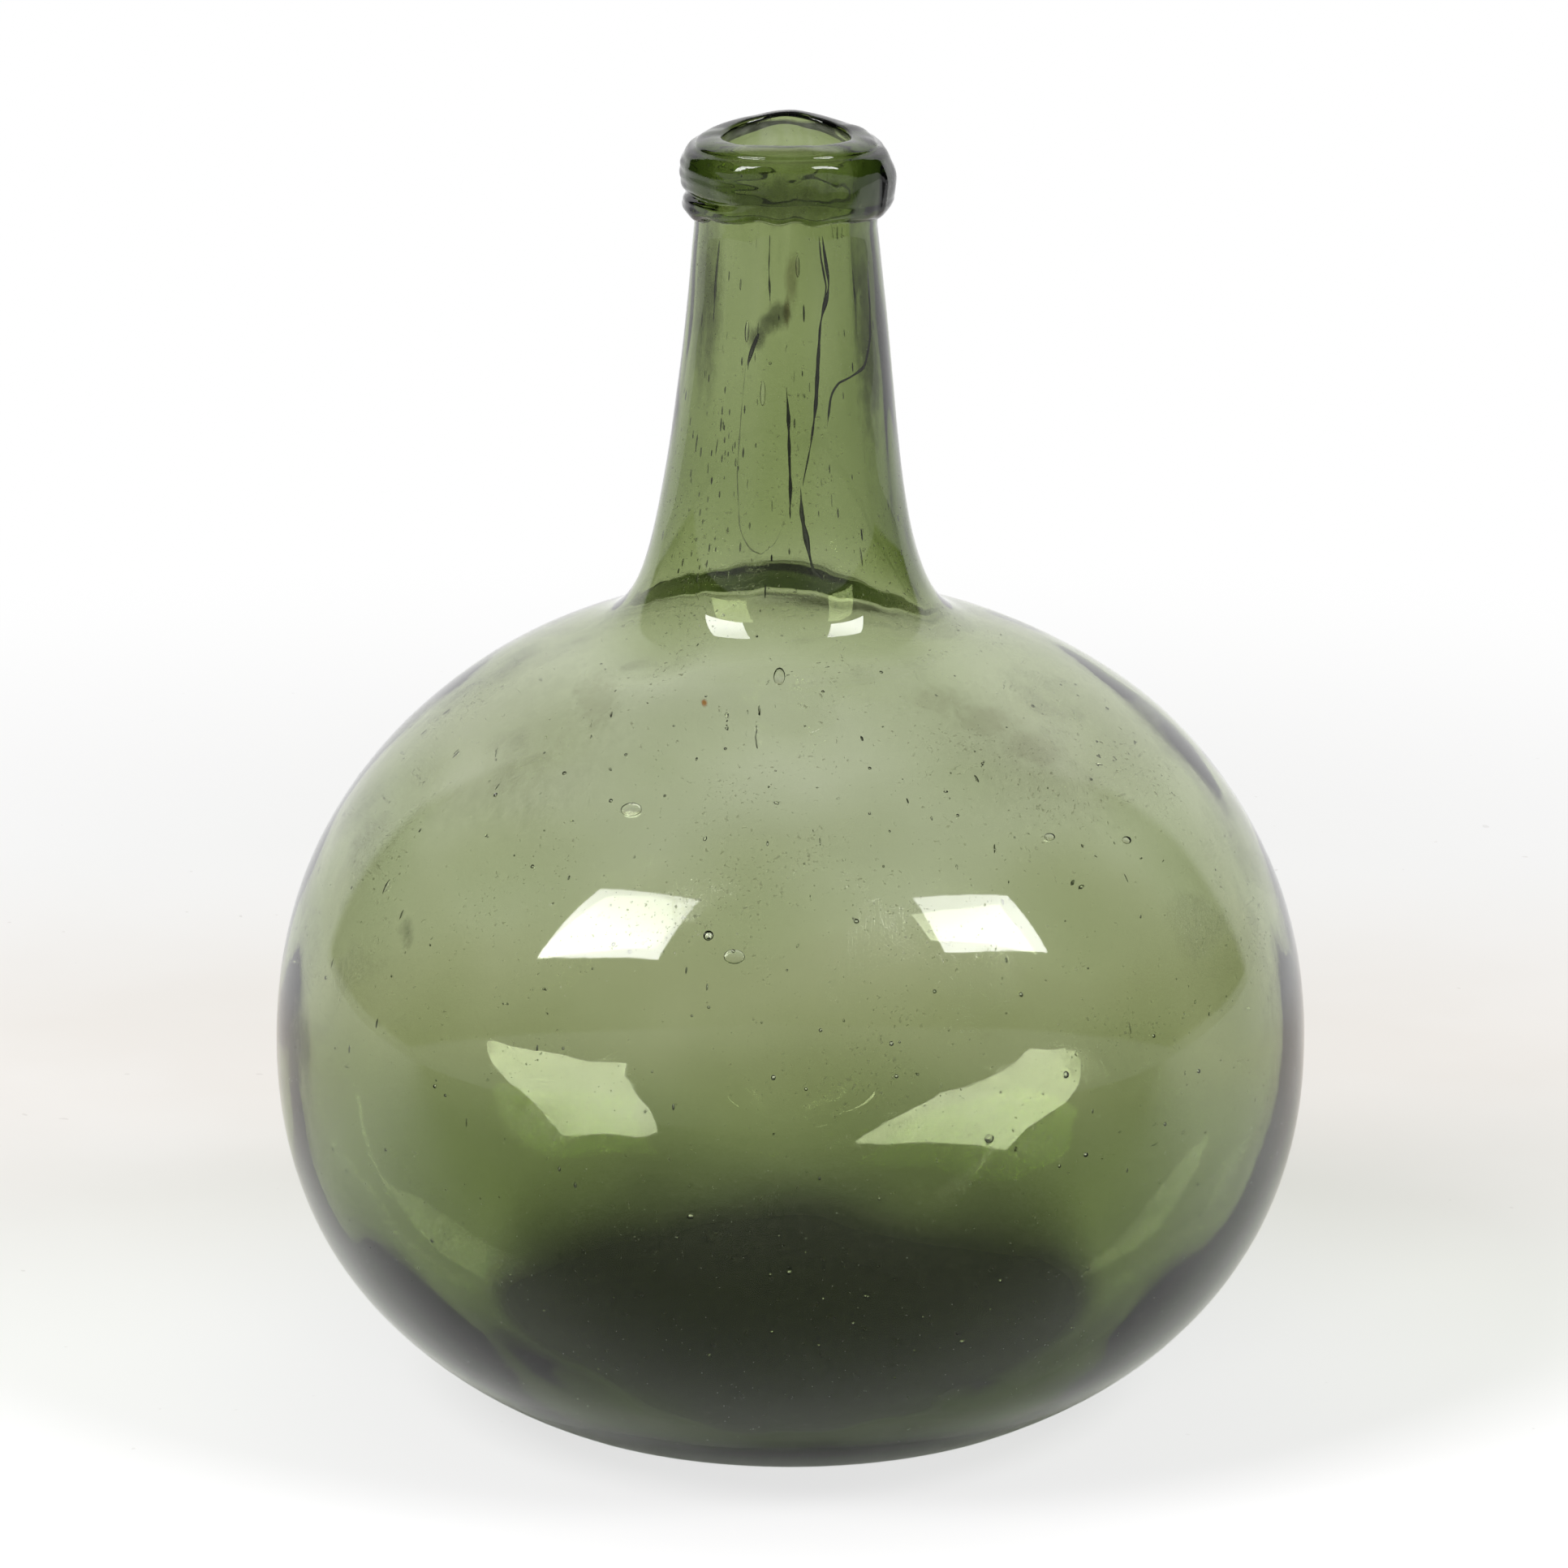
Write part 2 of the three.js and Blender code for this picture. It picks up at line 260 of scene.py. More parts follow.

# Dirt, the dark sheet of painted shade, and smears, one of which is painted shade: where and how large in
# millimetres, how strong, and of what colour
DARK_DIRT_AND_SHADE = (0.10, 0.10, 0.08, 1)
BROWN_DIRT = (0.20, 0.12, 0.06, 1)
RUST = (0.55, 0.12, 0.02, 1)
# Painted shade: a dark sheet on the inner floor, which is also the crust of the darkest voids
DARK_SHADE_AND_CRUST = (0.010, 0.012, 0.007, 1)
# Pale streaks in the mouth, partly painted light that lightens its back
PALE_HAZE_AND_LIGHT = (0.66, 0.68, 0.60, 1)
SMEARS_AND_SHADE = [
    ((-1, -27, 331), (1.6, 6, 6), 0.9, BROWN_DIRT),
    ((-3, -27, 330.5), (4.6, 8, 5.6), 0.7, DARK_DIRT_AND_SHADE),
    ((-6.6, -27, 327.5), (4, 8, 4.2), 0.65, DARK_DIRT_AND_SHADE),
    ((-9.6, -26, 323.5), (3.4, 8, 4.5), 0.7, DARK_DIRT_AND_SHADE),
    ((0.5, -27, 341), (2.6, 8, 10), 0.5, BROWN_DIRT),
    ((-22.8, -12, 330), (5.8, 14, 38), 0.65, DARK_DIRT_AND_SHADE),
    # Painted shade: darkens and greys the front of the collar
    ((0, -31, 364), (36, 15, 10), 0.68, DARK_DIRT_AND_SHADE),
    ((22.5, -14, 322), (6.2, 14, 46), 0.8, DARK_DIRT_AND_SHADE),
    ((-108, -78, 162), (3, 10, 6), 0.5, DARK_DIRT_AND_SHADE),
    ((-55, -50, 223), (9, 30, 7), 0.15, BROWN_DIRT),
    ((-144, -20, 102), (6, 16, 13), 0.7, DARK_DIRT_AND_SHADE),
    ((-84, -45, 208), (60, 55, 26), 0.15, BROWN_DIRT),
    ((80, -50, 210), (56, 55, 26), 0.14, BROWN_DIRT),
    ((43, -58, 225), (13, 12, 5), 0.16, BROWN_DIRT),
    ((56, -60, 219.5), (14, 12, 5), 0.17, BROWN_DIRT),
    ((70, -64, 212.5), (13, 12, 6), 0.15, BROWN_DIRT),
    ((-139.8, -52, 121), (2.4, 10, 11), 0.6, DARK_DIRT_AND_SHADE),
    ((144.9, -11, 141.9), (2, 9, 6), 0.7, DARK_DIRT_AND_SHADE),
    ((-24.5, -65, 226.3), (1.2, 4, 1.1), 1.0, RUST),
]

# Glass. A noise is scale, detail and roughness. A range is its start and end, then what it gives at both
CLEAR = (1, 1, 1, 1)
REFRACTION = 1.52
GLASS_COLOUR = (0.473, 0.553, 0.21, 1)
GLASS_DENSITY = 300.0
GLASS_SHADOW = (0.93, 0.94, 0.92, 1)
HANDLED_RANGE = (0.100, 0.140)
PATCH_NOISE = (22.0, 3.0, 0.6)
GRIT_NOISE = (700.0, 3.0, 0.6)
GRIT_RANGE = (0.42, 0.70, 0.725, 0.645)
GRIT_COLOUR = (0.16, 0.12, 0.07, 1)
GRIT_STRENGTH = 0.55
GRIT_ROUGHNESS = 0.35
STAIN_COLOUR = (0.05, 0.07, 0.035, 1)
CRUSTED_STAIN = 0.45
CRUST_GAIN = 1.6
BLOT_SQUEEZE = (330, 330, 150)
BLOT_NOISE = (1.0, 3.0, 0.6)
BLOT_TEAR = 0.9
BLOT_RANGE = (0.35, 1.0)
HAZE_AND_LIGHT_SQUEEZE = (210, 210, 40)
HAZE_AND_LIGHT_NOISE = (1.0, 2.0)
HAZE_AND_LIGHT_RANGE = (0.30, 0.80, 0.10, 0.32)
WORN_NOISE = (35.0, 2.0)
WORN_RANGE = (0.56, 0.70)
SKIN_NOISE = (260.0, 2.0)
SKIN_RANGE = (0.045, 0.090, 0.15, 1.0)
SKIN_HEIGHT = 0.000006

# Two courses of scratches: how the noise is squeezed, how it is turned, and how broad its lines are
SCRATCHES = [((1400, 160, 60), (0.3, 0.2, 0.6), 0.012), ((90, 1300, 500), (0.9, 0.5, 0.1), 0.010)]
SCRATCH_NOISE = (1.0, 1.0)
SCRATCH_ROUGHNESS = 0.22
SCRATCH_HEIGHT = -0.000010

# The pontil scar, and its frosted glass
SCAR_WIDTH = 0.008
SCAR_THICKNESS = 0.0024
SCAR_GAP = 0.0004
SCAR_TURNS = 160
SCAR_SIDES = 14
SCAR_FULLNESS = 0.78
SCAR_RAGS = [(0.22, 0.009, 61)]
SCAR_GRAIN = [(0.0004, 0.004, 62)]
FROST_NOISE = (420.0, 4.0, 0.7)
FROST_ROUGHNESS = (0.3, 0.7, 0.18, 0.6)
FROST_DARK = (0.30, 0.38, 0.17, 1)
FROST_PALE = (0.52, 0.60, 0.34, 1)
FROST_BUMP = 0.5
FROST_DEPTH = 0.0008

# The table: its size, its shades, and how it brightens towards the white surround
FLOOR_FRONT = -2.0
FLOOR_BACK = 6.0
FLOOR_SIDE = 2.2
FLOOR_DROP = 0.0002
PAPER_ROUGHNESS = 0.9
PAPER_COLOUR = (0.945, 0.942, 0.935, 1)
# Painted shade: a warmer, darker band on the paper behind the bottle
SHADE_BAND_COLOUR = (0.80, 0.755, 0.70, 1)
SHADE_BAND_NEAR = (0.02, 0.34)
SHADE_BAND_FAR = (0.58, 0.34)
SHADE_BLOTCH_NOISE = (9.0, 3.0)
SHADE_BLOTCH_RANGE = (0.2, 0.8, 0.8, 1.15)
DUST_NOISE = (170.0, 1.0)
DUST_LEVEL = 0.795
DUST_STRENGTH = 0.25
DUST_COLOUR = (0.3, 0.25, 0.2, 1)
FADE_RANGE = (0.38, 0.95)
PAPER_GLOW = 0.32
# Painted light: near the foot the paper glows more, seen directly and through the glass, lifting the
# bottle's shadow
NEAR_GLOW = 0.80
NEAR_LEVEL = 0.88
NEAR_RANGE = (0.095, 0.25)
THROUGH_GLOW = 0.16
FOOT_GLOW = 0.62
FOOT_GLOW_RANGE = (0.13, 0.30)
# Painted shade: the paper near the bottle is darker where only the glass mirrors it
MIRRORED_BACK = (-0.22, 0.0, 1.0, 0.0)
MIRRORED_REACH = (0.080, 0.115)
REFLECTION_LOSS = 0.80

# The two softboxes: azimuth and elevation of their corners as the bottle's front sees them, in degrees
SOFTBOXES = {
    "softbox_left": [(-66.3, 49.3), (-32.7, 55.7), (-35.8, 37.7), (-67.3, 28.5)],
    "softbox_right": [(44.0, 53.9), (72.4, 45.2), (70.0, 29.5), (43.0, 38.8)],
}
# The same two as the back wall throws them back through the front: it is flatter than a turned wall
RETURNED_SOFTBOXES = [
    [(80.8, 16.8), (50.8, 39.2), (72.0, 64.5), (93.0, 48.5)],
    [(-45.0, 70.0), (-49.5, 50.0), (-63.8, 25.9), (-83.0, 21.3), (-98.0, 53.0)],
]
SOFTBOX_LEVEL = 15.0
SOFTBOX_TOP_SHARE = 0.65
SOFTBOX_FALL = (math.sin(math.radians(38)), math.sin(math.radians(53)))
SOFTBOX_EDGE = 0.006
RETURNED_LEVEL = 19.0
LAMP_DISTANCE = 2.6
LAMP_TARGET = Vector((0, 0, 0.17))
LAMP_LEVEL = 18.0
FRONT_FILL = [(-20, 20), (20, 20), (20, 8), (-20, 8)]
FILL_LEVEL = 14.0

# The room round the table: a white backdrop, a ceiling, and a pale front below the horizon of the table
TABLE_LIGHT = 0.24
BACKDROP_EDGE = (math.cos(math.radians(53)), math.cos(math.radians(48)))
BACKDROP_SKEW = 0.045
BACKDROP_TOP = (math.sin(math.radians(30)), math.sin(math.radians(55)), 1.0, 0.12)
BACKDROP_THROUGH = 0.97
BACKDROP_MIRRORED = 0.95
SIDES_THROUGH = 0.80
FRONT_SLOPE = -0.46
FRONT_TOP = -0.02
FRONT_EDGE = 0.02
FRONT_LEVELS = (0.1, 0.75, 0.22, 0.62)
CEILING_LEVELS = (0.70, 0.98, 0.03, 0.14)
NEAR_VERTICAL = 0.001
BACK_WALL_DEPTH = 3.5
FLAG_SET = 0.5

# The camera, its lens in millimetres, and the photo's pixels that show the axis and the widest height
CAMERA_DISTANCE = 4.0
CAMERA_ELEVATION = math.radians(17.03)
CAMERA_CLIP = (0.1, 100)
LENS = 315.17
SENSOR = 36.0
PHOTO_SIDE = 1932
AXIS_COLUMN = 974.0
WIDEST_ROW = 1278.2
MOST_BOUNCES = 32
GLOSSY_BOUNCES = 12


def smooth(value, start, end):
    """From 0 at the start to 1 at the end, with soft ends."""
    share = np.clip((value - start) / (end - start), 0, 1)
    return share * share * (3 - 2 * share)


def mix(a, b, share):
    return a + (b - a) * share


def waves(points, wavelength, seed, stretch=1.0):
    """Random waves of about one wavelength, mostly from -1 to 1, longer upwards by the stretch."""
    random = np.random.default_rng(seed)
    heading = random.normal(size=(WAVES_SUMMED, 3))
    heading /= np.linalg.norm(heading, axis=1)[:, None]
    heading[:, 2] /= stretch
    turns = random.uniform(0, 2 * math.pi, WAVES_SUMMED)
    pace = random.uniform(*WAVE_PACES, WAVES_SUMMED) / wavelength
    angle = 2 * math.pi * (points @ heading.T) * pace + turns
    return np.sin(angle).sum(-1) / WAVE_CREST


def ripples(points, sets):
    """Several sets of waves added up, each with its height first."""
    return sum(height * waves(points, *kind) for height, *kind in sets)


def outward(angle):
    """Unit vectors straight out from the axis."""
    return np.stack([np.cos(angle), np.sin(angle), 0 * angle], -1)


def at_back(angle, full):
    """Zero in front and at the sides, and one from the full sine on."""
    return smooth(np.sin(angle), 0.0, full)


def super_height(radius, semi, fullness):
    return semi * (1 - (radius / BODY_RADIUS) ** fullness) ** (1 / fullness)


LOWER_DROP = WIDEST_HEIGHT / super_height(FOOT_CORNER, 1, LOWER_FULLNESS)
SHOULDER_HEIGHT = WIDEST_HEIGHT + super_height(SHOULDER_RADIUS, UPPER_RISE, UPPER_FULLNESS)


def bezier(points, steps):
    t = np.linspace(0, 1, steps + 1)[:, None]
    line = np.array(points, float)[:, None, :]
    while len(line) > 1:
        line = (1 - t) * line[:-1] + t * line[1:]
    return line[0]


def body_quarter(semi, fullness, end_radius):
    angle = np.linspace(0, math.acos((end_radius / BODY_RADIUS) ** (fullness / 2)), LINE_STEPS + 1)
    radius = BODY_RADIUS * np.cos(angle) ** (2 / fullness)
    return np.stack([radius, WIDEST_HEIGHT + semi * np.sin(angle) ** (2 / fullness)], 1)


def kick_height(radius):
    return KICK_HEIGHT * np.cos(math.pi / 2 * radius / FOOT_INNER) ** 2


def kick_line():
    radius = np.linspace(0, FOOT_INNER, KICK_STEPS + 1)
    return np.stack([radius, kick_height(radius)], 1)


def neck_line():
    """The neck leaves the shoulder along the shoulder's own slope and ends at the neck's taper."""
    share_out = (SHOULDER_RADIUS / BODY_RADIUS) ** (UPPER_FULLNESS - 1)
    share_up = ((SHOULDER_HEIGHT - WIDEST_HEIGHT) / UPPER_RISE) ** (UPPER_FULLNESS - 1)
    slope = np.array([-1, UPPER_RISE * share_out / (BODY_RADIUS * share_up)])
    slope /= np.linalg.norm(slope)
    start = np.array([SHOULDER_RADIUS, SHOULDER_HEIGHT])
    end = np.array([NECK_RADIUS, NECK_TOP])
    taper = np.array([math.sin(NECK_TAPER), -math.cos(NECK_TAPER)])
    return bezier([start, start + slope * FLARE_REACH, end + taper * TAPER_REACH, end], LINE_STEPS)


def spaced(line, spacing):
    """The same line with evenly spaced points."""
    along = np.concatenate([[0], np.cumsum(np.linalg.norm(np.diff(line, axis=0), axis=1))])
    count = max(int(round(along[-1] / spacing)), 2)
    at = np.linspace(0, along[-1], count + 1)
    return np.stack([np.interp(at, along, line[:, i]) for i in range(2)], 1)


@functools.cache
def wall_line():
    """The outside of the blown wall, from the middle of the kick to the underside of the trail."""
    wall = WIDEST_HEIGHT - super_height(HEEL_TOP, LOWER_DROP, LOWER_FULLNESS)
    heel = bezier([(FOOT_OUTER, 0), (FOOT_CORNER, 0), (HEEL_TOP, wall)], HEEL_STEPS)
    lower = body_quarter(-LOWER_DROP, LOWER_FULLNESS, HEEL_TOP)[::-1]
    upper = body_quarter(UPPER_RISE, UPPER_FULLNESS, SHOULDER_RADIUS)
    parts = [
        spaced(kick_line(), KICK_SPACING),
        spaced(heel, HEEL_SPACING),
        spaced(np.concatenate([lower, upper[1:]]), BODY_SPACING),
        spaced(neck_line(), NECK_SPACING),
    ]
    return np.concatenate([parts[0]] + [part[1:] for part in parts[1:]])


def wall_thickness(radius, height):
    kick = mix(BASE_WALL, HEEL_WALL, smooth(radius, 0, FOOT_INNER))
    belly = mix(BELLY_WALL, HEEL_WALL, np.exp(-((np.clip(height, 0, 1) / HEEL_FALL) ** HEEL_SHARPNESS)))
    shoulder = mix(belly, SHOULDER_WALL, smooth(height, WIDEST_HEIGHT, SHOULDER_HEIGHT))
    neck = mix(shoulder, NECK_WALL, smooth(height, *NECK_THICKENS))
    return np.where((radius < FOOT_INNER) & (height < WIDEST_HEIGHT), kick, neck)


def inner_line(outer):
    """The inside of the wall: a thickness in from the outside, with a rounded heel of its own."""
    along = np.gradient(outer, axis=0)
    along /= np.linalg.norm(along, axis=1)[:, None]
    inward = np.stack([-along[:, 1], along[:, 0]], 1)
    inward[0] = (0, 1)
    inner = outer + inward * wall_thickness(outer[:, 0], outer[:, 1])[:, None]
    inner[0, 0] = 0
    floor_end = np.argmax(outer[:, 0] > FLOOR_REACH)
    beyond = outer[floor_end:]
    wall_start = floor_end + np.argmax((beyond[:, 1] > HEEL_RISE) & (beyond[:, 0] > FOOT_CORNER))
    start, end = inner[floor_end - 1], inner[wall_start]
    reach = HEEL_TANGENT * np.linalg.norm(end - start)
    leave = inner[floor_end - 1] - inner[floor_end - 2]
    arrive = inner[wall_start + 1] - inner[wall_start]
    leave, arrive = leave / np.linalg.norm(leave), arrive / np.linalg.norm(arrive)
    heel = bezier([start, start + leave * reach, end - arrive * reach, end], INNER_HEEL_STEPS)
    heel = spaced(heel, INNER_HEEL_SPACING)
    line = np.concatenate([inner[: floor_end - 1], heel, inner[wall_start + 1 :]])
    soft = line.copy()
    for _ in range(HEEL_PASSES):
        soft[1:-1] = (soft[:-2] + 2 * soft[1:-1] + soft[2:]) / 4
    return mix(soft, line, smooth(line[:, 1:], *HEEL_ROUND))


def rim_line():
    height = np.linspace(NECK_TOP, SEAM_HEIGHT, RIM_ROWS)
    return np.stack([np.full(len(height), NECK_RADIUS), height], 1)[1:]


def lip_line():
    """Slopes up from the seam to a crest near the bore, and turns down into it with a small radius."""
    crest = BORE_RADIUS + LIP_EDGE
    angle = np.linspace(0, math.pi / 2, LIP_ROWS)
    slope_height = mix(SEAM_HEIGHT, LIP_HEIGHT, np.sin(angle))
    slope = np.stack([mix(crest, NECK_RADIUS, np.cos(angle)), slope_height], 1)
    edge = np.stack([crest - LIP_EDGE * np.sin(angle), LIP_HEIGHT - LIP_EDGE * (1 - np.cos(angle))], 1)
    return np.concatenate([slope[1:], edge[1::2]])


def throat_line(lip_end, neck_inside):
    share = np.linspace(0, 1, THROAT_ROWS)[1:-1]
    radius = mix(lip_end[0], neck_inside[0], smooth(share, 0, THROAT_TURN))
    return np.stack([radius, mix(lip_end[1], neck_inside[1], share)], 1)


def glass_outline():
    """The section of the glass, up its outside and down its inside, and which points are outside."""
    outer = wall_line()
    inner = inner_line(outer)[::-1]
    outside = np.concatenate([outer, rim_line(), lip_line()])
    outline = np.concatenate([outside, throat_line(outside[-1], inner[0]), inner])
    return outline, np.arange(len(outline)) < len(outside)


def bulge(height, foot, top, depth):
    share = np.clip(np.abs(height - (foot + top) / 2) / ((top - foot) / 2), 0, 1)
    return depth * (1 - share**WRAP_FULLNESS) ** (1 / WRAP_FULLNESS)


def lap_depth(height, angle):
    """The lapped end of the trail: a patch of its own thickness with soft edges."""
    start = smooth(angle, LAP_START - LAP_START_SOFT, LAP_START)
    end = smooth(angle, LAP_END + LAP_END_SOFT, LAP_END - LAP_END_SOFT)
    upright = smooth(height, STRING_FOOT, STRING_FOOT + LAP_FOOT_SOFT) * smooth(height, LAP_TOP, LAP_FADE)
    return LAP_DEPTH * (start * end) * upright


def dress_rim(points, height, angle):
    """How far the trail stands out of the neck: its two wraps, its ripples and its lapped end."""
    ring = outward(angle) * NECK_RADIUS
    foot = STRING_FOOT + ripples(ring, STRING_FOOT_WAVES)
    groove = GROOVE_HEIGHT + ripples(ring, GROOVE_WAVES)
    seam = SEAM_HEIGHT + ripples(ring, SEAM_WAVES) * smooth(SEAM_HEIGHT - height, 0, SEAM_SOFT)
    left_side = np.clip(-np.cos(angle), 0, 1)
    overlap = mix(*WRAP_OVERLAPS, 1 - smooth(left_side, *WRAPS_PART))
    string = bulge(height, foot, groove + overlap, STRING_DEPTH)
    collar = bulge(height, groove - overlap, seam, COLLAR_DEPTH)
    above_foot = smooth(height, STRING_FOOT - TRAIL_EDGE, STRING_FOOT + TRAIL_SOFT)
    in_trail = above_foot * smooth(height, SEAM_HEIGHT, SEAM_HEIGHT - TRAIL_SOFT)
    winding = 2 * math.pi * (height + STREAK_SLANT * angle) / STREAK_PITCH
    streak = STREAK_DEPTH * np.sin(winding + ripples(ring, STREAK_TURNS)) * left_side
    skin = in_trail * (ripples(points, TRAIL_RIPPLES) + streak)
    return np.maximum(string, collar) + skin + lap_depth(height, angle)


def settle(points):
    """The neck leans, and the mouth sags at its sides and has one peak at the back."""
    x, y, z = points.T
    radius = np.maximum(np.hypot(x, y), OFF_AXIS)
    across = (y**2 - x**2) / radius**2
    back = np.clip(y / radius, 0, 1) ** PEAK_SHARPNESS
    in_trail = smooth(z, STRING_FOOT - TRAIL_RUN_IN, STRING_FOOT)
    up_trail = np.clip((z - STRING_FOOT) / (LIP_HEIGHT - STRING_FOOT), 0, 1)
    lean = NECK_LEAN * smooth(z, *LEAN_HEIGHTS) - LEAN_RECOVERY * smooth(z, *RECOVERY_HEIGHTS)
    wave = mix(STRING_WAVE, LIP_WAVE, up_trail) * across * in_trail
    lift = wave + LIP_PEAK * back * smooth(up_trail, 0, 1)
    return np.stack([x - lean, y, z + lift], 1)


@functools.cache
def ring_faces(rows, sides):
    """Faces over rows of ring points, closed by the two points that follow the rows."""
    here = np.arange(sides)
    there = (here + 1) % sides
    start = np.arange(rows - 1)[:, None] * sides
    corners = [start + here, start + there, start + sides + there, start + sides + here]
    quads = np.stack(corners, -1).reshape(-1, len(corners))
    first, last = rows * sides, (rows - 1) * sides
    first_fan = [(first, j, i) for i, j in zip(here, there)]
    last_fan = [(first + 1, last + i, last + j) for i, j in zip(here, there)]
    return quads.tolist() + first_fan + last_fan


def turned(outline, steps):
    """Points and faces of a closed surface of revolution whose outline starts and ends on the axis."""
    angle = np.arange(steps) * 2 * math.pi / steps + CAMERA_SIDE
    rows = outline[1:-1]
    x = rows[:, 0:1] * np.cos(angle)
    y = rows[:, 0:1] * np.sin(angle)
    z = np.repeat(rows[:, 1:2], steps, axis=1)
    points = np.stack([x, y, z], -1).reshape(-1, 3)
    ends = [[0, 0, outline[0, 1]], [0, 0, outline[-1, 1]]]
    return np.concatenate([points, ends]), ring_faces(len(rows), steps)


def line_normals(outline):
    along = np.gradient(outline, axis=0)
    along /= np.linalg.norm(along, axis=1)[:, None]
    normal = np.stack([along[:, 1], -along[:, 0]], 1)
    normal[0], normal[-1] = (0, -1), (0, 1)
    return normal


def wall_offset(points, angle, is_outer):
    """How far the wall moves along its normal: waves, the fold and the bore's shift."""
    height = points[:, 2]
    neck = smooth(height, SHOULDER_HEIGHT, SHOULDER_HEIGHT + SHOULDER_CALM)
    foot = smooth(height, 0.0, FOOT_CALM)
    below_rim = 1 - smooth(height, STRING_FOOT - RIM_CALM, STRING_FOOT)
    below_lip = smooth(LIP_HEIGHT - LIP_CALM - height, 0, LIP_SOFT)
    outer = ripples(points, OUTER_WAVES) * foot * below_rim + ripples(points, NECK_WAVES) * neck * below_rim
    lines = mix(INNER_NECK_LOW, 1, smooth(height, *INNER_NECK_HEIGHTS)) * ripples(points, INNER_NECK_WAVES)
    shift = BORE_SHIFT * np.cos(angle) * neck
    fold = FOLD_DEPTH * np.exp(-(((height - FOLD_HEIGHT) / FOLD_WIDTH) ** 2)) * at_back(angle, FOLD_FULL)
    inner = ripples(points, INNER_WAVES) * foot + fold + (lines * neck + shift) * below_lip
    return np.where(is_outer, outer, inner)


def base_shade_share(points, angle, is_outer):
    """How much of the dark sheet of painted shade on the inner floor lies on each point. Its edge is softer
    at the back.
    """
    edge = BASE_SHADE_RADIUS + ripples(points, BASE_SHADE_EDGE_WAVES)
    reach = np.hypot(points[:, 0], points[:, 1] + BASE_SHADE_SHIFT)
    fade = mix(*BASE_SHADE_FADES, smooth(np.sin(angle), *BASE_SHADE_BACK))
    on_floor = (~is_outer) & (points[:, 2] < BASE_SHADE_TOP)
    return np.where(on_floor, smooth(edge - reach, -fade, BASE_SHADE_EDGE), 0)


def haze_and_light_share(height, angle, is_outer):
    """How much of the pale haze, partly real streaks and partly painted light at the back of the mouth, lies
    on each point.
    """
    haze = smooth(height, HAZE_AND_LIGHT_FOOT, HAZE_AND_LIGHT_FOOT + HAZE_AND_LIGHT_RISE) * at_back(angle, HAZE_AND_LIGHT_FULL)
    return np.where((~is_outer) & (height > HAZE_AND_LIGHT_FOOT), haze, 0)


def glass_shell():
    """Points and faces of the glass without its voids, and the film and the haze on each point."""
    outline, outside = glass_outline()
    points, faces = turned(outline, TURN_STEPS)

    def per_point(values):
        return np.concatenate([np.repeat(values[1:-1], TURN_STEPS, axis=0), values[:1], values[-1:]])

    is_outer, normal = per_point(outside), per_point(line_normals(outline))
    angle = np.arctan2(points[:, 1], points[:, 0])
    height = points[:, 2]
    radial = outward(angle)
    full_normal = radial * normal[:, 0:1] + np.array([0, 0, 1]) * normal[:, 1:2]
    moved = points + full_normal * wall_offset(points, angle, is_outer)[:, None]
    on_rim = is_outer & (height > NECK_TOP) & (height <= SEAM_HEIGHT + SEAM_MARGIN)
    stand = np.where(on_rim, dress_rim(points, height, angle), 0)
    lip_ripple = np.where(height > SEAM_HEIGHT - LIP_RIPPLE_DROP, ripples(points, LIP_RIPPLES), 0)
    moved += radial * stand[:, None] + full_normal * lip_ripple[:, None]
    film, haze = base_shade_share(points, angle, is_outer), haze_and_light_share(height, angle, is_outer)
    return settle(moved), faces, film, haze


@functools.cache
def rising_wall():
    """The outside from the foot to the seam, for the radius at a height."""
    line = np.concatenate([wall_line(), rim_line()])
    return line[line[:, 1].argmin():]


def wall_point(azimuth, height, depth):
    """A point inside the outer wall: degrees round from +X, metres up, metres in from the outside."""
    upward = rising_wall()
    radius = np.interp(height, upward[:, 1], upward[:, 0]) - depth
    a = math.radians(azimuth)
    return settle(np.array([[radius * math.cos(a), radius * math.sin(a), height]]))[0]


def mesh_object(name, points, faces, marks=None):
    mesh = bpy.data.meshes.new(name)
    mesh.from_pydata(np.asarray(points).tolist(), [], faces)
    for mark, values in (marks or {}).items():
        mesh.attributes.new(mark, "FLOAT", "POINT").data.foreach_set("value", values)
    mesh.polygons.foreach_set("use_smooth", [True] * len(mesh.polygons))
    mesh.update()
    piece = bpy.data.objects.new(name, mesh)
    bpy.context.scene.collection.objects.link(piece)
    return piece


def void_ball(centre, out, size, rings, turns):
    """A sealed bubble: its faces look into the void. The size is across, up and through the wall."""
    centre, out = Vector(centre), Vector(out).normalized()
    up = (Vector((0, 0, 1)) - out * out.z).normalized()
    across = up.cross(out)
    points = []
    for i in range(1, rings):
        tilt = math.pi * i / rings
        for j in range(turns):
            turn = 2 * math.pi * j / turns
            point = centre - up * (size[1] / 2 * math.cos(tilt))
            point += across * (size[0] / 2 * math.sin(tilt) * math.cos(turn))
            point += out * (size[2] / 2 * math.sin(tilt) * math.sin(turn))
            points.append(tuple(point))
    points += [tuple(centre - up * size[1] / 2), tuple(centre + up * size[1] / 2)]
    return points, ring_faces(rings - 1, turns)


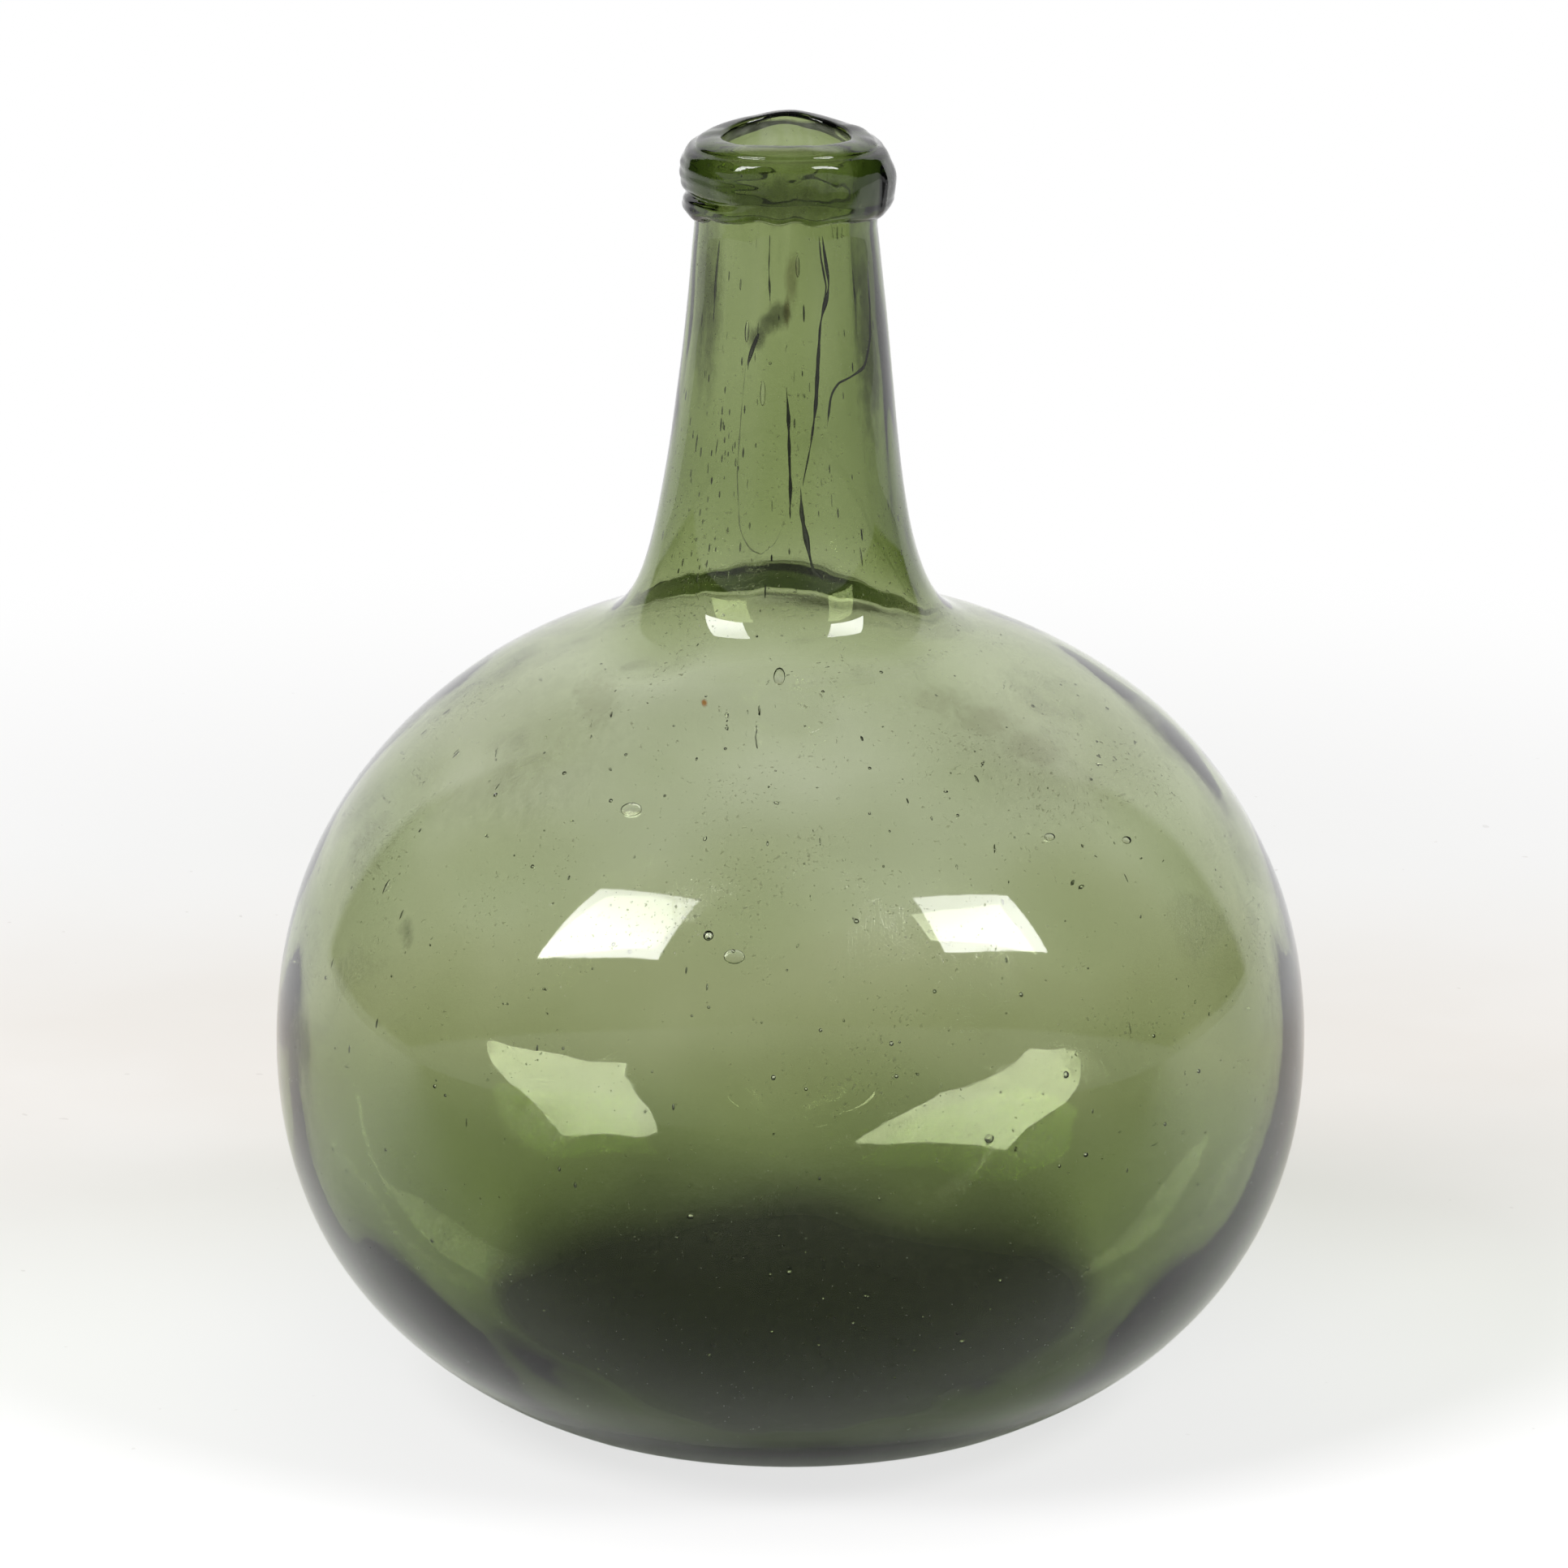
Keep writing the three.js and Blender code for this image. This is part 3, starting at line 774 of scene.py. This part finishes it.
def void_tube(path, widths, sides):
    """A sealed crease: a tube of void along the path. Its faces look into the void too."""
    along = np.gradient(path, axis=0)
    along /= np.linalg.norm(along, axis=1)[:, None]
    out = path * (1, 1, 0)
    out /= np.linalg.norm(out, axis=1)[:, None]
    across = np.cross(along, out)
    turn = 2 * math.pi * np.arange(sides) / sides
    ring = across[:, None] * np.cos(turn)[None, :, None]
    ring = ring + CREASE_FLATNESS * out[:, None] * np.sin(turn)[None, :, None]
    points = path[1:-1, None] + ring[1:-1] * np.array(widths)[1:-1, None, None] / 2
    points = np.concatenate([points.reshape(-1, 3), path[:1], path[-1:]])
    return points.tolist(), ring_faces(len(path) - 2, sides)


def crease_path(marks, depth):
    """A smooth path in the neck's front wall through marks of (across, height), in millimetres."""
    marks = np.array(marks, float) / MILLIMETRES
    along = np.concatenate([[0], np.cumsum(np.linalg.norm(np.diff(marks, axis=0), axis=1))])
    at = np.linspace(0, along[-1], CREASE_STEPS)
    x, z = (np.interp(at, along, marks[:, i]) for i in range(2))
    padded = np.pad(x, CREASE_SOFTENING // 2, mode="edge")
    soft = np.convolve(padded, np.ones(CREASE_SOFTENING) / CREASE_SOFTENING, mode="valid")
    upward = rising_wall()
    radius = np.interp(z, upward[:, 1], upward[:, 0]) - depth
    return np.stack([soft, -np.sqrt(radius**2 - soft**2), z], 1)


def crease(marks, width, depth, stain):
    """A crease that swells, thins and runs out at its ends, with its stain."""
    path = crease_path(marks, depth / MILLIMETRES)
    share = np.clip(np.linspace(0, 1, len(path)), CREASE_END, 1 - CREASE_END)
    swell = np.clip(SWELL_MIDDLE + SWELL_RANGE * waves(path, SWELL_LENGTH, len(marks)), *SWELL_LIMITS)
    widths = width / MILLIMETRES * swell * np.sqrt(np.sin(math.pi * share))
    return (*void_tube(settle(path), widths, CREASE_SIDES), stain)


def bubble(azimuth, height, size, depth_share=MIDDLE, stain=0.0, ball=SMALL_BALL):
    """A bubble that lies along the wall, with its stain."""
    outside = wall_point(azimuth, height, 0)
    wall = float(wall_thickness(np.hypot(outside[0], outside[1]), height))
    a = math.radians(azimuth)
    up_slope = wall_point(azimuth, height + SLOPE_STEP, 0) - wall_point(azimuth, height - SLOPE_STEP, 0)
    out = np.cross(np.array([-math.sin(a), math.cos(a), 0]), up_slope)
    out /= np.linalg.norm(out)
    return (*void_ball(outside - out * wall * depth_share, out, size, **ball), stain)


def large_seeds():
    for azimuth, height, across, up, through in SEEDS:
        size = np.array([across, up, through]) / MILLIMETRES
        yield bubble(azimuth, height / MILLIMETRES, size, ball=LARGE_BALL)


def small_seeds(random):
    for _ in range(SMALL_SEEDS):
        height = random.uniform(*SMALL_SEED_HEIGHTS)
        shape = np.array([1, random.uniform(*SMALL_SEED_TALLNESS), SMALL_SEED_FLATNESS])
        size = shape * (SMALL_SEED_SIZE + SMALL_SEED_GROWTH * random.random() ** LARGER_SEED_RARITY)
        yield bubble(random.uniform(*ROUND_THE_AXIS), height, size, random.uniform(*MID_WALL))


def neck_seeds(random):
    for _ in range(NECK_SEEDS):
        height = random.uniform(*NECK_SEED_HEIGHTS)
        width = random.uniform(*NECK_SEED_WIDTHS)
        size = np.array([width, width * random.uniform(*NECK_SEED_LENGTHS), width])
        stain = random.uniform(*NECK_SEED_STAINS)
        yield bubble(random.uniform(*ROUND_THE_AXIS), height, size, random.uniform(*MID_WALL), stain)


def body_dashes(random):
    for _ in range(BODY_DASHES):
        height = random.uniform(*BODY_DASH_HEIGHTS)
        width = random.uniform(*BODY_DASH_WIDTHS)
        size = np.array([width, random.uniform(*BODY_DASH_LENGTHS), BODY_DASH_THROUGH])
        azimuth = random.uniform(*ROUND_THE_AXIS)
        yield bubble(azimuth, height, size, BODY_DASH_DEPTH, random.uniform(*BODY_DASH_STAINS))


def left_dashes(random):
    """Dashes that gather at the left of the neck's foot."""
    for _ in range(LEFT_DASHES):
        width = random.uniform(*LEFT_DASH_WIDTHS)
        size = np.array([width, width * random.uniform(*LEFT_DASH_LENGTHS), width])
        azimuth = random.normal(*LEFT_DASH_AZIMUTH)
        height = random.uniform(*LEFT_DASH_HEIGHTS)
        depth_share = random.uniform(*LEFT_DASH_DEPTHS)
        yield bubble(azimuth, height, size, depth_share, random.uniform(*LEFT_DASH_STAINS))


def voids():
    """All the voids sealed in the wall: points, faces and stain of each."""
    random = np.random.default_rng(SEED_DRAW)
    yield from large_seeds()
    for scatter in (small_seeds, neck_seeds, body_dashes, left_dashes):
        yield from scatter(random)
    for marks, width, depth, stain in CREASES.values():
        yield crease(marks, width, depth, stain)


def joined(parts):
    points, faces = [], []
    for part_points, part_faces in parts:
        start = len(points)
        points += list(map(tuple, part_points))
        faces += [tuple(start + i for i in face) for face in part_faces]
    return points, faces


class Graph:
    """Short ways to add and link shader nodes in one tree."""

    def __init__(self, tree):
        self.nodes, self.links = tree.nodes, tree.links

    def add(self, kind, inputs=None, **settings):
        made = self.nodes.new("ShaderNode" + kind)
        for name, value in settings.items():
            setattr(made, name, value)
        for place, value in (inputs or {}).items():
            if isinstance(value, bpy.types.NodeSocket):
                self.links.new(value, made.inputs[place])
            else:
                made.inputs[place].default_value = value
        return made

    def math(self, operation, a, b=0.0):
        return self.add("Math", {0: a, 1: b}, operation=operation).outputs[0]

    def times(self, a, b):
        return self.math("MULTIPLY", a, b)

    def ramp(self, value, low, high, out_low=0.0, out_high=1.0):
        settings = {0: value, 1: low, 2: high, 3: out_low, 4: out_high}
        return self.add("MapRange", settings, interpolation_type="SMOOTHSTEP").outputs[0]

    def mix(self, share, a, b):
        return self.add("Mix", {0: share, 2: a, 3: b}, data_type="FLOAT").outputs[0]

    def mix_colour(self, share, a, b):
        return self.add("Mix", {0: share, 6: a, 7: b}, data_type="RGBA").outputs[2]

    def mix_shader(self, share, a, b):
        return self.add("MixShader", {0: share, 1: a, 2: b}).outputs[0]

    def noise(self, place, scale, detail, roughness=0.5):
        settings = {"Vector": place, "Scale": scale, "Detail": detail, "Roughness": roughness}
        return self.add("TexNoise", settings).outputs[0]

    def stretched(self, place, scale, turn=(0, 0, 0)):
        return self.add("Mapping", {"Vector": place, "Rotation": turn, "Scale": scale}).outputs[0]

    def attribute(self, name):
        return self.add("Attribute", attribute_name=name).outputs["Fac"]

    def length(self, vector):
        return self.add("VectorMath", {0: vector}, operation="LENGTH").outputs["Value"]

    def split(self, vector):
        return self.add("SeparateXYZ", {0: vector}).outputs


def new_material(name):
    material = bpy.data.materials.new(name)
    material.use_nodes = True
    graph = Graph(material.node_tree)
    return material, graph, graph.nodes["Principled BSDF"], graph.nodes["Material Output"]


def blot_mask(graph, place, centre, size, strength):
    """A soft blot, broken up by noise that runs more down than across."""
    centre, size = Vector(centre) / MILLIMETRES, Vector(size) / MILLIMETRES
    away = graph.add("VectorMath", {0: place, 1: centre}, operation="SUBTRACT").outputs[0]
    away = graph.add("VectorMath", {0: away, 1: size}, operation="DIVIDE").outputs[0]
    torn = graph.noise(graph.stretched(place, BLOT_SQUEEZE), *BLOT_NOISE)
    tear = graph.times(graph.math("SUBTRACT", torn, MIDDLE), BLOT_TEAR)
    return graph.ramp(graph.math("ADD", graph.length(away), tear), *BLOT_RANGE, strength, 0.0)


def grit_specks(graph, place, handled):
    """One on grains of grit, which gather in patches."""
    patches = graph.times(graph.noise(place, *PATCH_NOISE), handled)
    return graph.math("GREATER_THAN", graph.noise(place, *GRIT_NOISE), graph.ramp(patches, *GRIT_RANGE))


def dirt_and_shade_tint(graph, place, speck):
    """The colour of the skin: clear, with grit, stained voids and smears, and painted shade over the front
    of the collar.
    """
    tint = graph.mix_colour(graph.times(speck, GRIT_STRENGTH), CLEAR, GRIT_COLOUR)
    tint = graph.mix_colour(graph.attribute("stain"), tint, STAIN_COLOUR)
    for centre, size, strength, colour in SMEARS_AND_SHADE:
        tint = graph.mix_colour(blot_mask(graph, place, centre, size, strength), tint, colour)
    return tint


def scratch_lines(graph, place, handled):
    """Fine lines where squeezed noise crosses its middle, in worn patches."""
    lines = 0.0
    for squeeze, turn, breadth in SCRATCHES:
        grain = graph.noise(graph.stretched(place, squeeze, turn), *SCRATCH_NOISE)
        away = graph.math("ABSOLUTE", graph.math("SUBTRACT", grain, MIDDLE))
        lines = graph.math("MAXIMUM", lines, graph.ramp(away, 0.0, breadth, 1.0, 0.0))
    worn = graph.ramp(graph.noise(place, *WORN_NOISE), *WORN_RANGE)
    return graph.times(lines, graph.times(worn, handled))


def glass_with_shade_and_haze(graph, place, glass):
    """The glass under a dark sheet of painted shade on the inner floor, and under the pale streaks of the
    mouth, which are partly painted light.
    """
    shade_and_crust_sheet = graph.add("BsdfDiffuse", {0: DARK_SHADE_AND_CRUST}).outputs[0]
    # Painted shade: the dark sheet on the inner floor stands in for the shadowed table under the base
    shaded_and_crusted = graph.mix_shader(graph.attribute("film"), glass, shade_and_crust_sheet)
    streaks_and_light = graph.ramp(graph.noise(graph.stretched(place, HAZE_AND_LIGHT_SQUEEZE), *HAZE_AND_LIGHT_NOISE), *HAZE_AND_LIGHT_RANGE)
    # Partly painted light: a pale sheet that lightens the back of the mouth
    pale = graph.add("BsdfDiffuse", {0: PALE_HAZE_AND_LIGHT}).outputs[0]
    return graph.mix_shader(graph.times(graph.attribute("haze"), streaks_and_light), shaded_and_crusted, pale)


def green_glass():
    """Clear green glass with dirt, fine scratches and a worn skin, painted shade on its inner floor and over
    the collar's front, and pale haze in the mouth that is partly painted light.
    """
    material, graph, shader, output = new_material("green_glass")
    shader.inputs["IOR"].default_value = REFRACTION
    shader.inputs["Transmission Weight"].default_value = 1.0
    place = graph.add("TexCoord").outputs["Object"]
    height = graph.split(place)["Z"]
    handled = graph.ramp(height, *HANDLED_RANGE)
    speck = grit_specks(graph, place, handled)
    scratches = scratch_lines(graph, place, handled)
    rough = graph.math("ADD", graph.times(speck, GRIT_ROUGHNESS), graph.times(scratches, SCRATCH_ROUGHNESS))
    skin = graph.times(graph.noise(place, *SKIN_NOISE), graph.ramp(height, *SKIN_RANGE))
    relief = graph.math("ADD", graph.times(skin, SKIN_HEIGHT), graph.times(scratches, SCRATCH_HEIGHT))
    bump = graph.add("Bump", {"Height": relief, "Strength": 1.0, "Distance": 1.0})
    graph.links.new(dirt_and_shade_tint(graph, place, speck), shader.inputs["Base Color"])
    graph.links.new(rough, shader.inputs["Roughness"])
    graph.links.new(bump.outputs[0], shader.inputs["Normal"])
    volume = graph.add("VolumeAbsorption", {"Color": GLASS_COLOUR, "Density": GLASS_DENSITY})
    graph.links.new(volume.outputs[0], output.inputs["Volume"])
    clear = graph.add("BsdfTransparent", {0: GLASS_SHADOW}).outputs[0]
    shadow = graph.add("LightPath").outputs["Is Shadow Ray"]
    surface = graph.mix_shader(shadow, glass_with_shade_and_haze(graph, place, shader.outputs[0]), clear)
    graph.links.new(surface, output.inputs["Surface"])
    return material


def make_glass():
    """The body, its rim and its voids in one mesh. The darkest voids carry some of the dark sheet as crust.
    """
    points, faces, film, haze = glass_shell()
    shells = [(points, faces)]
    stains = [0.0] * len(points)
    for void_points, void_faces, stain in voids():
        shells.append((void_points, void_faces))
        stains += [stain] * len(void_points)
    crusts = [max(stain - CRUSTED_STAIN, 0) * CRUST_GAIN for stain in stains[len(film):]]
    hazes_and_light = haze.tolist() + [0.0] * len(crusts)
    marks = {"stain": stains, "film": film.tolist() + crusts, "haze": hazes_and_light}
    glass = mesh_object("glass_body", *joined(shells), marks)
    glass.data.materials.append(green_glass())
    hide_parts("vessel", "rim_collar", "rim_string", "rim_lap")
    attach(glass, "root")


def scar_glass():
    """Broken, frosted glass with a ragged grain."""
    material, graph, shader, _ = new_material("scar_glass")
    shader.inputs["IOR"].default_value = REFRACTION
    shader.inputs["Transmission Weight"].default_value = 1.0
    grain = graph.noise(graph.add("TexCoord").outputs["Object"], *FROST_NOISE)
    graph.links.new(graph.ramp(grain, *FROST_ROUGHNESS), shader.inputs["Roughness"])
    graph.links.new(graph.mix_colour(grain, FROST_DARK, FROST_PALE), shader.inputs["Base Color"])
    bump = graph.add("Bump", {"Height": grain, "Strength": FROST_BUMP, "Distance": FROST_DEPTH})
    graph.links.new(bump.outputs[0], shader.inputs["Normal"])
    return material


def make_scar():
    """The ring of glass that the pontil left on the kick: ragged, and broken through in places."""
    low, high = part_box("pontil_scar")
    outside = (high.x - low.x) / 2
    angle = np.arange(SCAR_TURNS) * 2 * math.pi / SCAR_TURNS
    ragged = SCAR_FULLNESS + ripples(outward(angle) * outside, SCAR_RAGS)
    points, faces = [], []
    for i in range(SCAR_TURNS):
        for j in range(SCAR_SIDES):
            turn = 2 * math.pi * j / SCAR_SIDES
            radius = outside - SCAR_WIDTH / 2 + SCAR_WIDTH / 2 * math.cos(turn) * ragged[i]
            depth = SCAR_THICKNESS * max(-math.sin(turn), 0) * ragged[i]
            height = kick_height(radius) - SCAR_GAP - depth
            points.append((radius * math.cos(angle[i]), radius * math.sin(angle[i]), height))
            k, m = (i + 1) % SCAR_TURNS, (j + 1) % SCAR_SIDES
            faces.append((i * SCAR_SIDES + j, k * SCAR_SIDES + j, k * SCAR_SIDES + m, i * SCAR_SIDES + m))
    points = np.array(points)
    points[:, 2] += np.minimum(ripples(points, SCAR_GRAIN), 0)
    scar = mesh_object("scar_ring", points, faces)
    scar.data.materials.append(scar_glass())
    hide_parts("pontil_scar")
    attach(scar, "root")


def paper_colour(graph, place, y):
    """Nearly white, with a warmer blotched band of painted shade behind the bottle, and specks of dust."""
    shade_band = graph.times(graph.ramp(y, *SHADE_BAND_NEAR), graph.ramp(y, *SHADE_BAND_FAR))
    shade_band = graph.times(shade_band, graph.ramp(graph.noise(place, *SHADE_BLOTCH_NOISE), *SHADE_BLOTCH_RANGE))
    colour = graph.mix_colour(shade_band, PAPER_COLOUR, SHADE_BAND_COLOUR)
    dust = graph.math("GREATER_THAN", graph.noise(place, *DUST_NOISE), DUST_LEVEL)
    return graph.mix_colour(graph.times(dust, DUST_STRENGTH), colour, DUST_COLOUR)


def paper_glow(graph, path, reach):
    """How much of the paper is plain white light: all of it far out, less seen through the glass, and more
    near the foot, which is painted light over the bottle's shadow.
    """
    seen = graph.ramp(reach, *NEAR_RANGE, NEAR_GLOW, PAPER_GLOW)
    through = graph.ramp(reach, *FOOT_GLOW_RANGE, FOOT_GLOW, THROUGH_GLOW)
    through = graph.times(path["Is Transmission Ray"], through)
    glow = graph.mix(path["Is Camera Ray"], through, seen)
    glow = graph.math("MAXIMUM", graph.ramp(reach, *FADE_RANGE), glow)
    return graph.times(glow, graph.math("SUBTRACT", 1.0, path["Is Diffuse Ray"]))


def mirror_loss(graph, path, y, reach):
    """How much darker the glass mirrors the paper in front: painted shade in the reflection."""
    only_mirrored = graph.math("SUBTRACT", path["Is Glossy Ray"], path["Is Transmission Ray"])
    only_mirrored = graph.math("GREATER_THAN", only_mirrored, FLAG_SET)
    near = graph.times(graph.ramp(y, *MIRRORED_BACK), graph.ramp(reach, *MIRRORED_REACH))
    return graph.times(only_mirrored, graph.times(near, REFLECTION_LOSS))


def floor_paper():
    """Matt white paper that fades into the white surround."""
    material, graph, shader, output = new_material("floor_paper")
    shader.inputs["Roughness"].default_value = PAPER_ROUGHNESS
    shader.inputs["Specular IOR Level"].default_value = 0.0
    place = graph.add("TexCoord").outputs["Object"]
    y = graph.split(place)["Y"]
    reach = graph.length(place)
    path = graph.add("LightPath").outputs
    graph.links.new(paper_colour(graph, place, y), shader.inputs["Base Color"])
    level = graph.mix(path["Is Camera Ray"], 1.0, graph.ramp(reach, *NEAR_RANGE, NEAR_LEVEL, 1.0))
    white = graph.add("Emission", {"Color": CLEAR, "Strength": level}).outputs[0]
    dark = graph.add("Emission", {"Strength": 0.0}).outputs[0]
    paper = graph.mix_shader(paper_glow(graph, path, reach), shader.outputs[0], white)
    surface = graph.mix_shader(mirror_loss(graph, path, y, reach), paper, dark)
    graph.links.new(surface, output.inputs["Surface"])
    return material


def make_floor():
    near, far, side = FLOOR_FRONT, FLOOR_BACK, FLOOR_SIDE
    corners = [(-side, near, 0), (side, near, 0), (side, far, 0), (-side, far, 0)]
    floor = mesh_object("floor", corners, [(0, 1, 2, 3)])
    floor.location.z = -FLOOR_DROP
    floor.data.materials.append(floor_paper())


def bearing(azimuth, elevation):
    """A unit vector: azimuth from the camera's side, positive to its right."""
    a, e = math.radians(azimuth), math.radians(elevation)
    return Vector((math.sin(a) * math.cos(e), -math.cos(a) * math.cos(e), math.sin(e)))


def make_lamp(name, corners, level):
    """A softbox as the table sees it. What shows of it in the glass is part of the room."""
    rays = [bearing(*corner) for corner in corners]
    middle = sum(rays, Vector()).normalized() * LAMP_DISTANCE
    top = (rays[1] - rays[0]) * LAMP_DISTANCE
    side = (rays[0] - rays[3]) * LAMP_DISTANCE
    light = bpy.data.lights.new(name, "AREA")
    light.shape = "RECTANGLE"
    light.size, light.size_y = top.length, side.length
    light.energy = level * math.pi * light.size * light.size_y
    lamp = bpy.data.objects.new(name, light)
    lamp.location = LAMP_TARGET + middle
    lamp.rotation_euler = middle.to_track_quat("Z", "Y").to_euler()
    lamp.visible_camera = lamp.visible_glossy = lamp.visible_transmission = False
    bpy.context.scene.collection.objects.link(lamp)


def softbox_mask(graph, ray, corners):
    """One inside the frame that the corners span, and zero outside it."""
    rays = [bearing(*corner) for corner in corners]
    middle = sum(rays, Vector())
    inside = 1.0
    for first, second in zip(rays, rays[1:] + rays[:1]):
        edge = second.cross(first).normalized()
        if edge.dot(middle) < 0:
            edge = -edge
        share = graph.add("VectorMath", {0: ray, 1: edge}, operation="DOT_PRODUCT").outputs["Value"]
        inside = graph.times(inside, graph.ramp(share, -SOFTBOX_EDGE, SOFTBOX_EDGE))
    return inside


def any_softbox(graph, ray, frames):
    shown = 0.0
    for corners in frames:
        shown = graph.math("MAXIMUM", shown, softbox_mask(graph, ray, corners))
    return shown


def backdrop_share(graph, x, y):
    """One towards the white backdrop behind the bottle, which stands slightly askew."""
    flat = graph.math("SQRT", graph.math("ADD", graph.times(x, x), graph.times(y, y)))
    behind = graph.math("DIVIDE", y, graph.math("MAXIMUM", flat, NEAR_VERTICAL))
    return graph.ramp(graph.math("ADD", behind, graph.times(x, BACKDROP_SKEW)), *BACKDROP_EDGE)


def room_level(graph, x, y, z):
    """How bright the room beside the backdrop is."""
    ahead = graph.math("MAXIMUM", graph.times(y, FRONT_SLOPE), FRONT_TOP)
    front = graph.ramp(graph.math("SUBTRACT", ahead, z), 0.0, FRONT_EDGE)
    front_level = graph.ramp(graph.math("ABSOLUTE", x), *FRONT_LEVELS)
    return graph.mix(front, graph.ramp(z, *CEILING_LEVELS), front_level)


def softbox_light(graph, path, ray, z, room):
    """The room with the softboxes that the front mirrors, or that the back wall returns."""
    from_back = graph.math("GREATER_THAN", path["Transmission Depth"], BACK_WALL_DEPTH)
    thrown_back = graph.math("GREATER_THAN", path["Glossy Depth"], FLAG_SET)
    returned = graph.times(any_softbox(graph, ray, RETURNED_SOFTBOXES), thrown_back)
    softboxes = graph.mix(from_back, any_softbox(graph, ray, SOFTBOXES.values()), returned)
    shine = graph.ramp(z, *SOFTBOX_FALL, SOFTBOX_LEVEL, SOFTBOX_LEVEL * SOFTBOX_TOP_SHARE)
    return graph.mix(softboxes, room, graph.mix(from_back, shine, RETURNED_LEVEL))


def make_world():
    """White to the camera; in the glass, a white backdrop, a dim room, a pale front and two softboxes."""
    world = bpy.data.worlds.new("studio")
    bpy.context.scene.world = world
    world.use_nodes = True
    graph = Graph(world.node_tree)
    graph.nodes.clear()
    ray = graph.add("TexCoord").outputs["Generated"]
    x, y, z = graph.split(ray)
    path = graph.add("LightPath").outputs
    passed = path["Is Transmission Ray"]
    backdrop, low = backdrop_share(graph, x, y), graph.ramp(z, *BACKDROP_TOP)
    through = graph.times(graph.mix(backdrop, SIDES_THROUGH, BACKDROP_THROUGH), low)
    reflected = graph.mix(graph.times(backdrop, low), room_level(graph, x, y, z), BACKDROP_MIRRORED)
    in_glass = softbox_light(graph, path, ray, z, graph.mix(passed, reflected, through))
    by_glass = graph.math("MAXIMUM", path["Is Glossy Ray"], passed)
    by_glass = graph.times(by_glass, graph.math("LESS_THAN", path["Diffuse Depth"], FLAG_SET))
    level = graph.mix(by_glass, graph.mix(passed, TABLE_LIGHT, TABLE_LIGHT / 2), in_glass)
    level = graph.mix(path["Is Camera Ray"], level, 1.0)
    shader = graph.add("Background", {0: CLEAR, 1: level})
    graph.add("OutputWorld", {0: shader.outputs[0]})


def make_camera():
    """Stands above the widest height and far off, with a long lens."""
    data = bpy.data.cameras.new("camera")
    data.lens, data.sensor_width, data.sensor_height = LENS, SENSOR, SENSOR
    data.clip_start, data.clip_end = CAMERA_CLIP
    camera = bpy.data.objects.new("camera", data)
    bpy.context.scene.collection.objects.link(camera)
    back = CAMERA_DISTANCE * math.cos(CAMERA_ELEVATION)
    camera.location = (0, -back, WIDEST_HEIGHT + CAMERA_DISTANCE * math.sin(CAMERA_ELEVATION))
    pixels = LENS / SENSOR * PHOTO_SIDE
    tilt = math.pi / 2 - CAMERA_ELEVATION + math.atan((WIDEST_ROW - PHOTO_SIDE / 2) / pixels)
    camera.rotation_euler = (tilt, 0, math.atan((AXIS_COLUMN - PHOTO_SIDE / 2) / pixels))
    bpy.context.scene.camera = camera


def set_light_paths():
    scene = bpy.context.scene
    scene.view_settings.view_transform = "Standard"
    scene.cycles.max_bounces = MOST_BOUNCES
    scene.cycles.transmission_bounces = MOST_BOUNCES
    scene.cycles.glossy_bounces = GLOSSY_BOUNCES


make_camera()
make_world()
for lamp_name, lamp_corners in SOFTBOXES.items():
    make_lamp(lamp_name, lamp_corners, LAMP_LEVEL)
make_lamp("front_fill", FRONT_FILL, FILL_LEVEL)
make_floor()
make_glass()
make_scar()
set_light_paths()
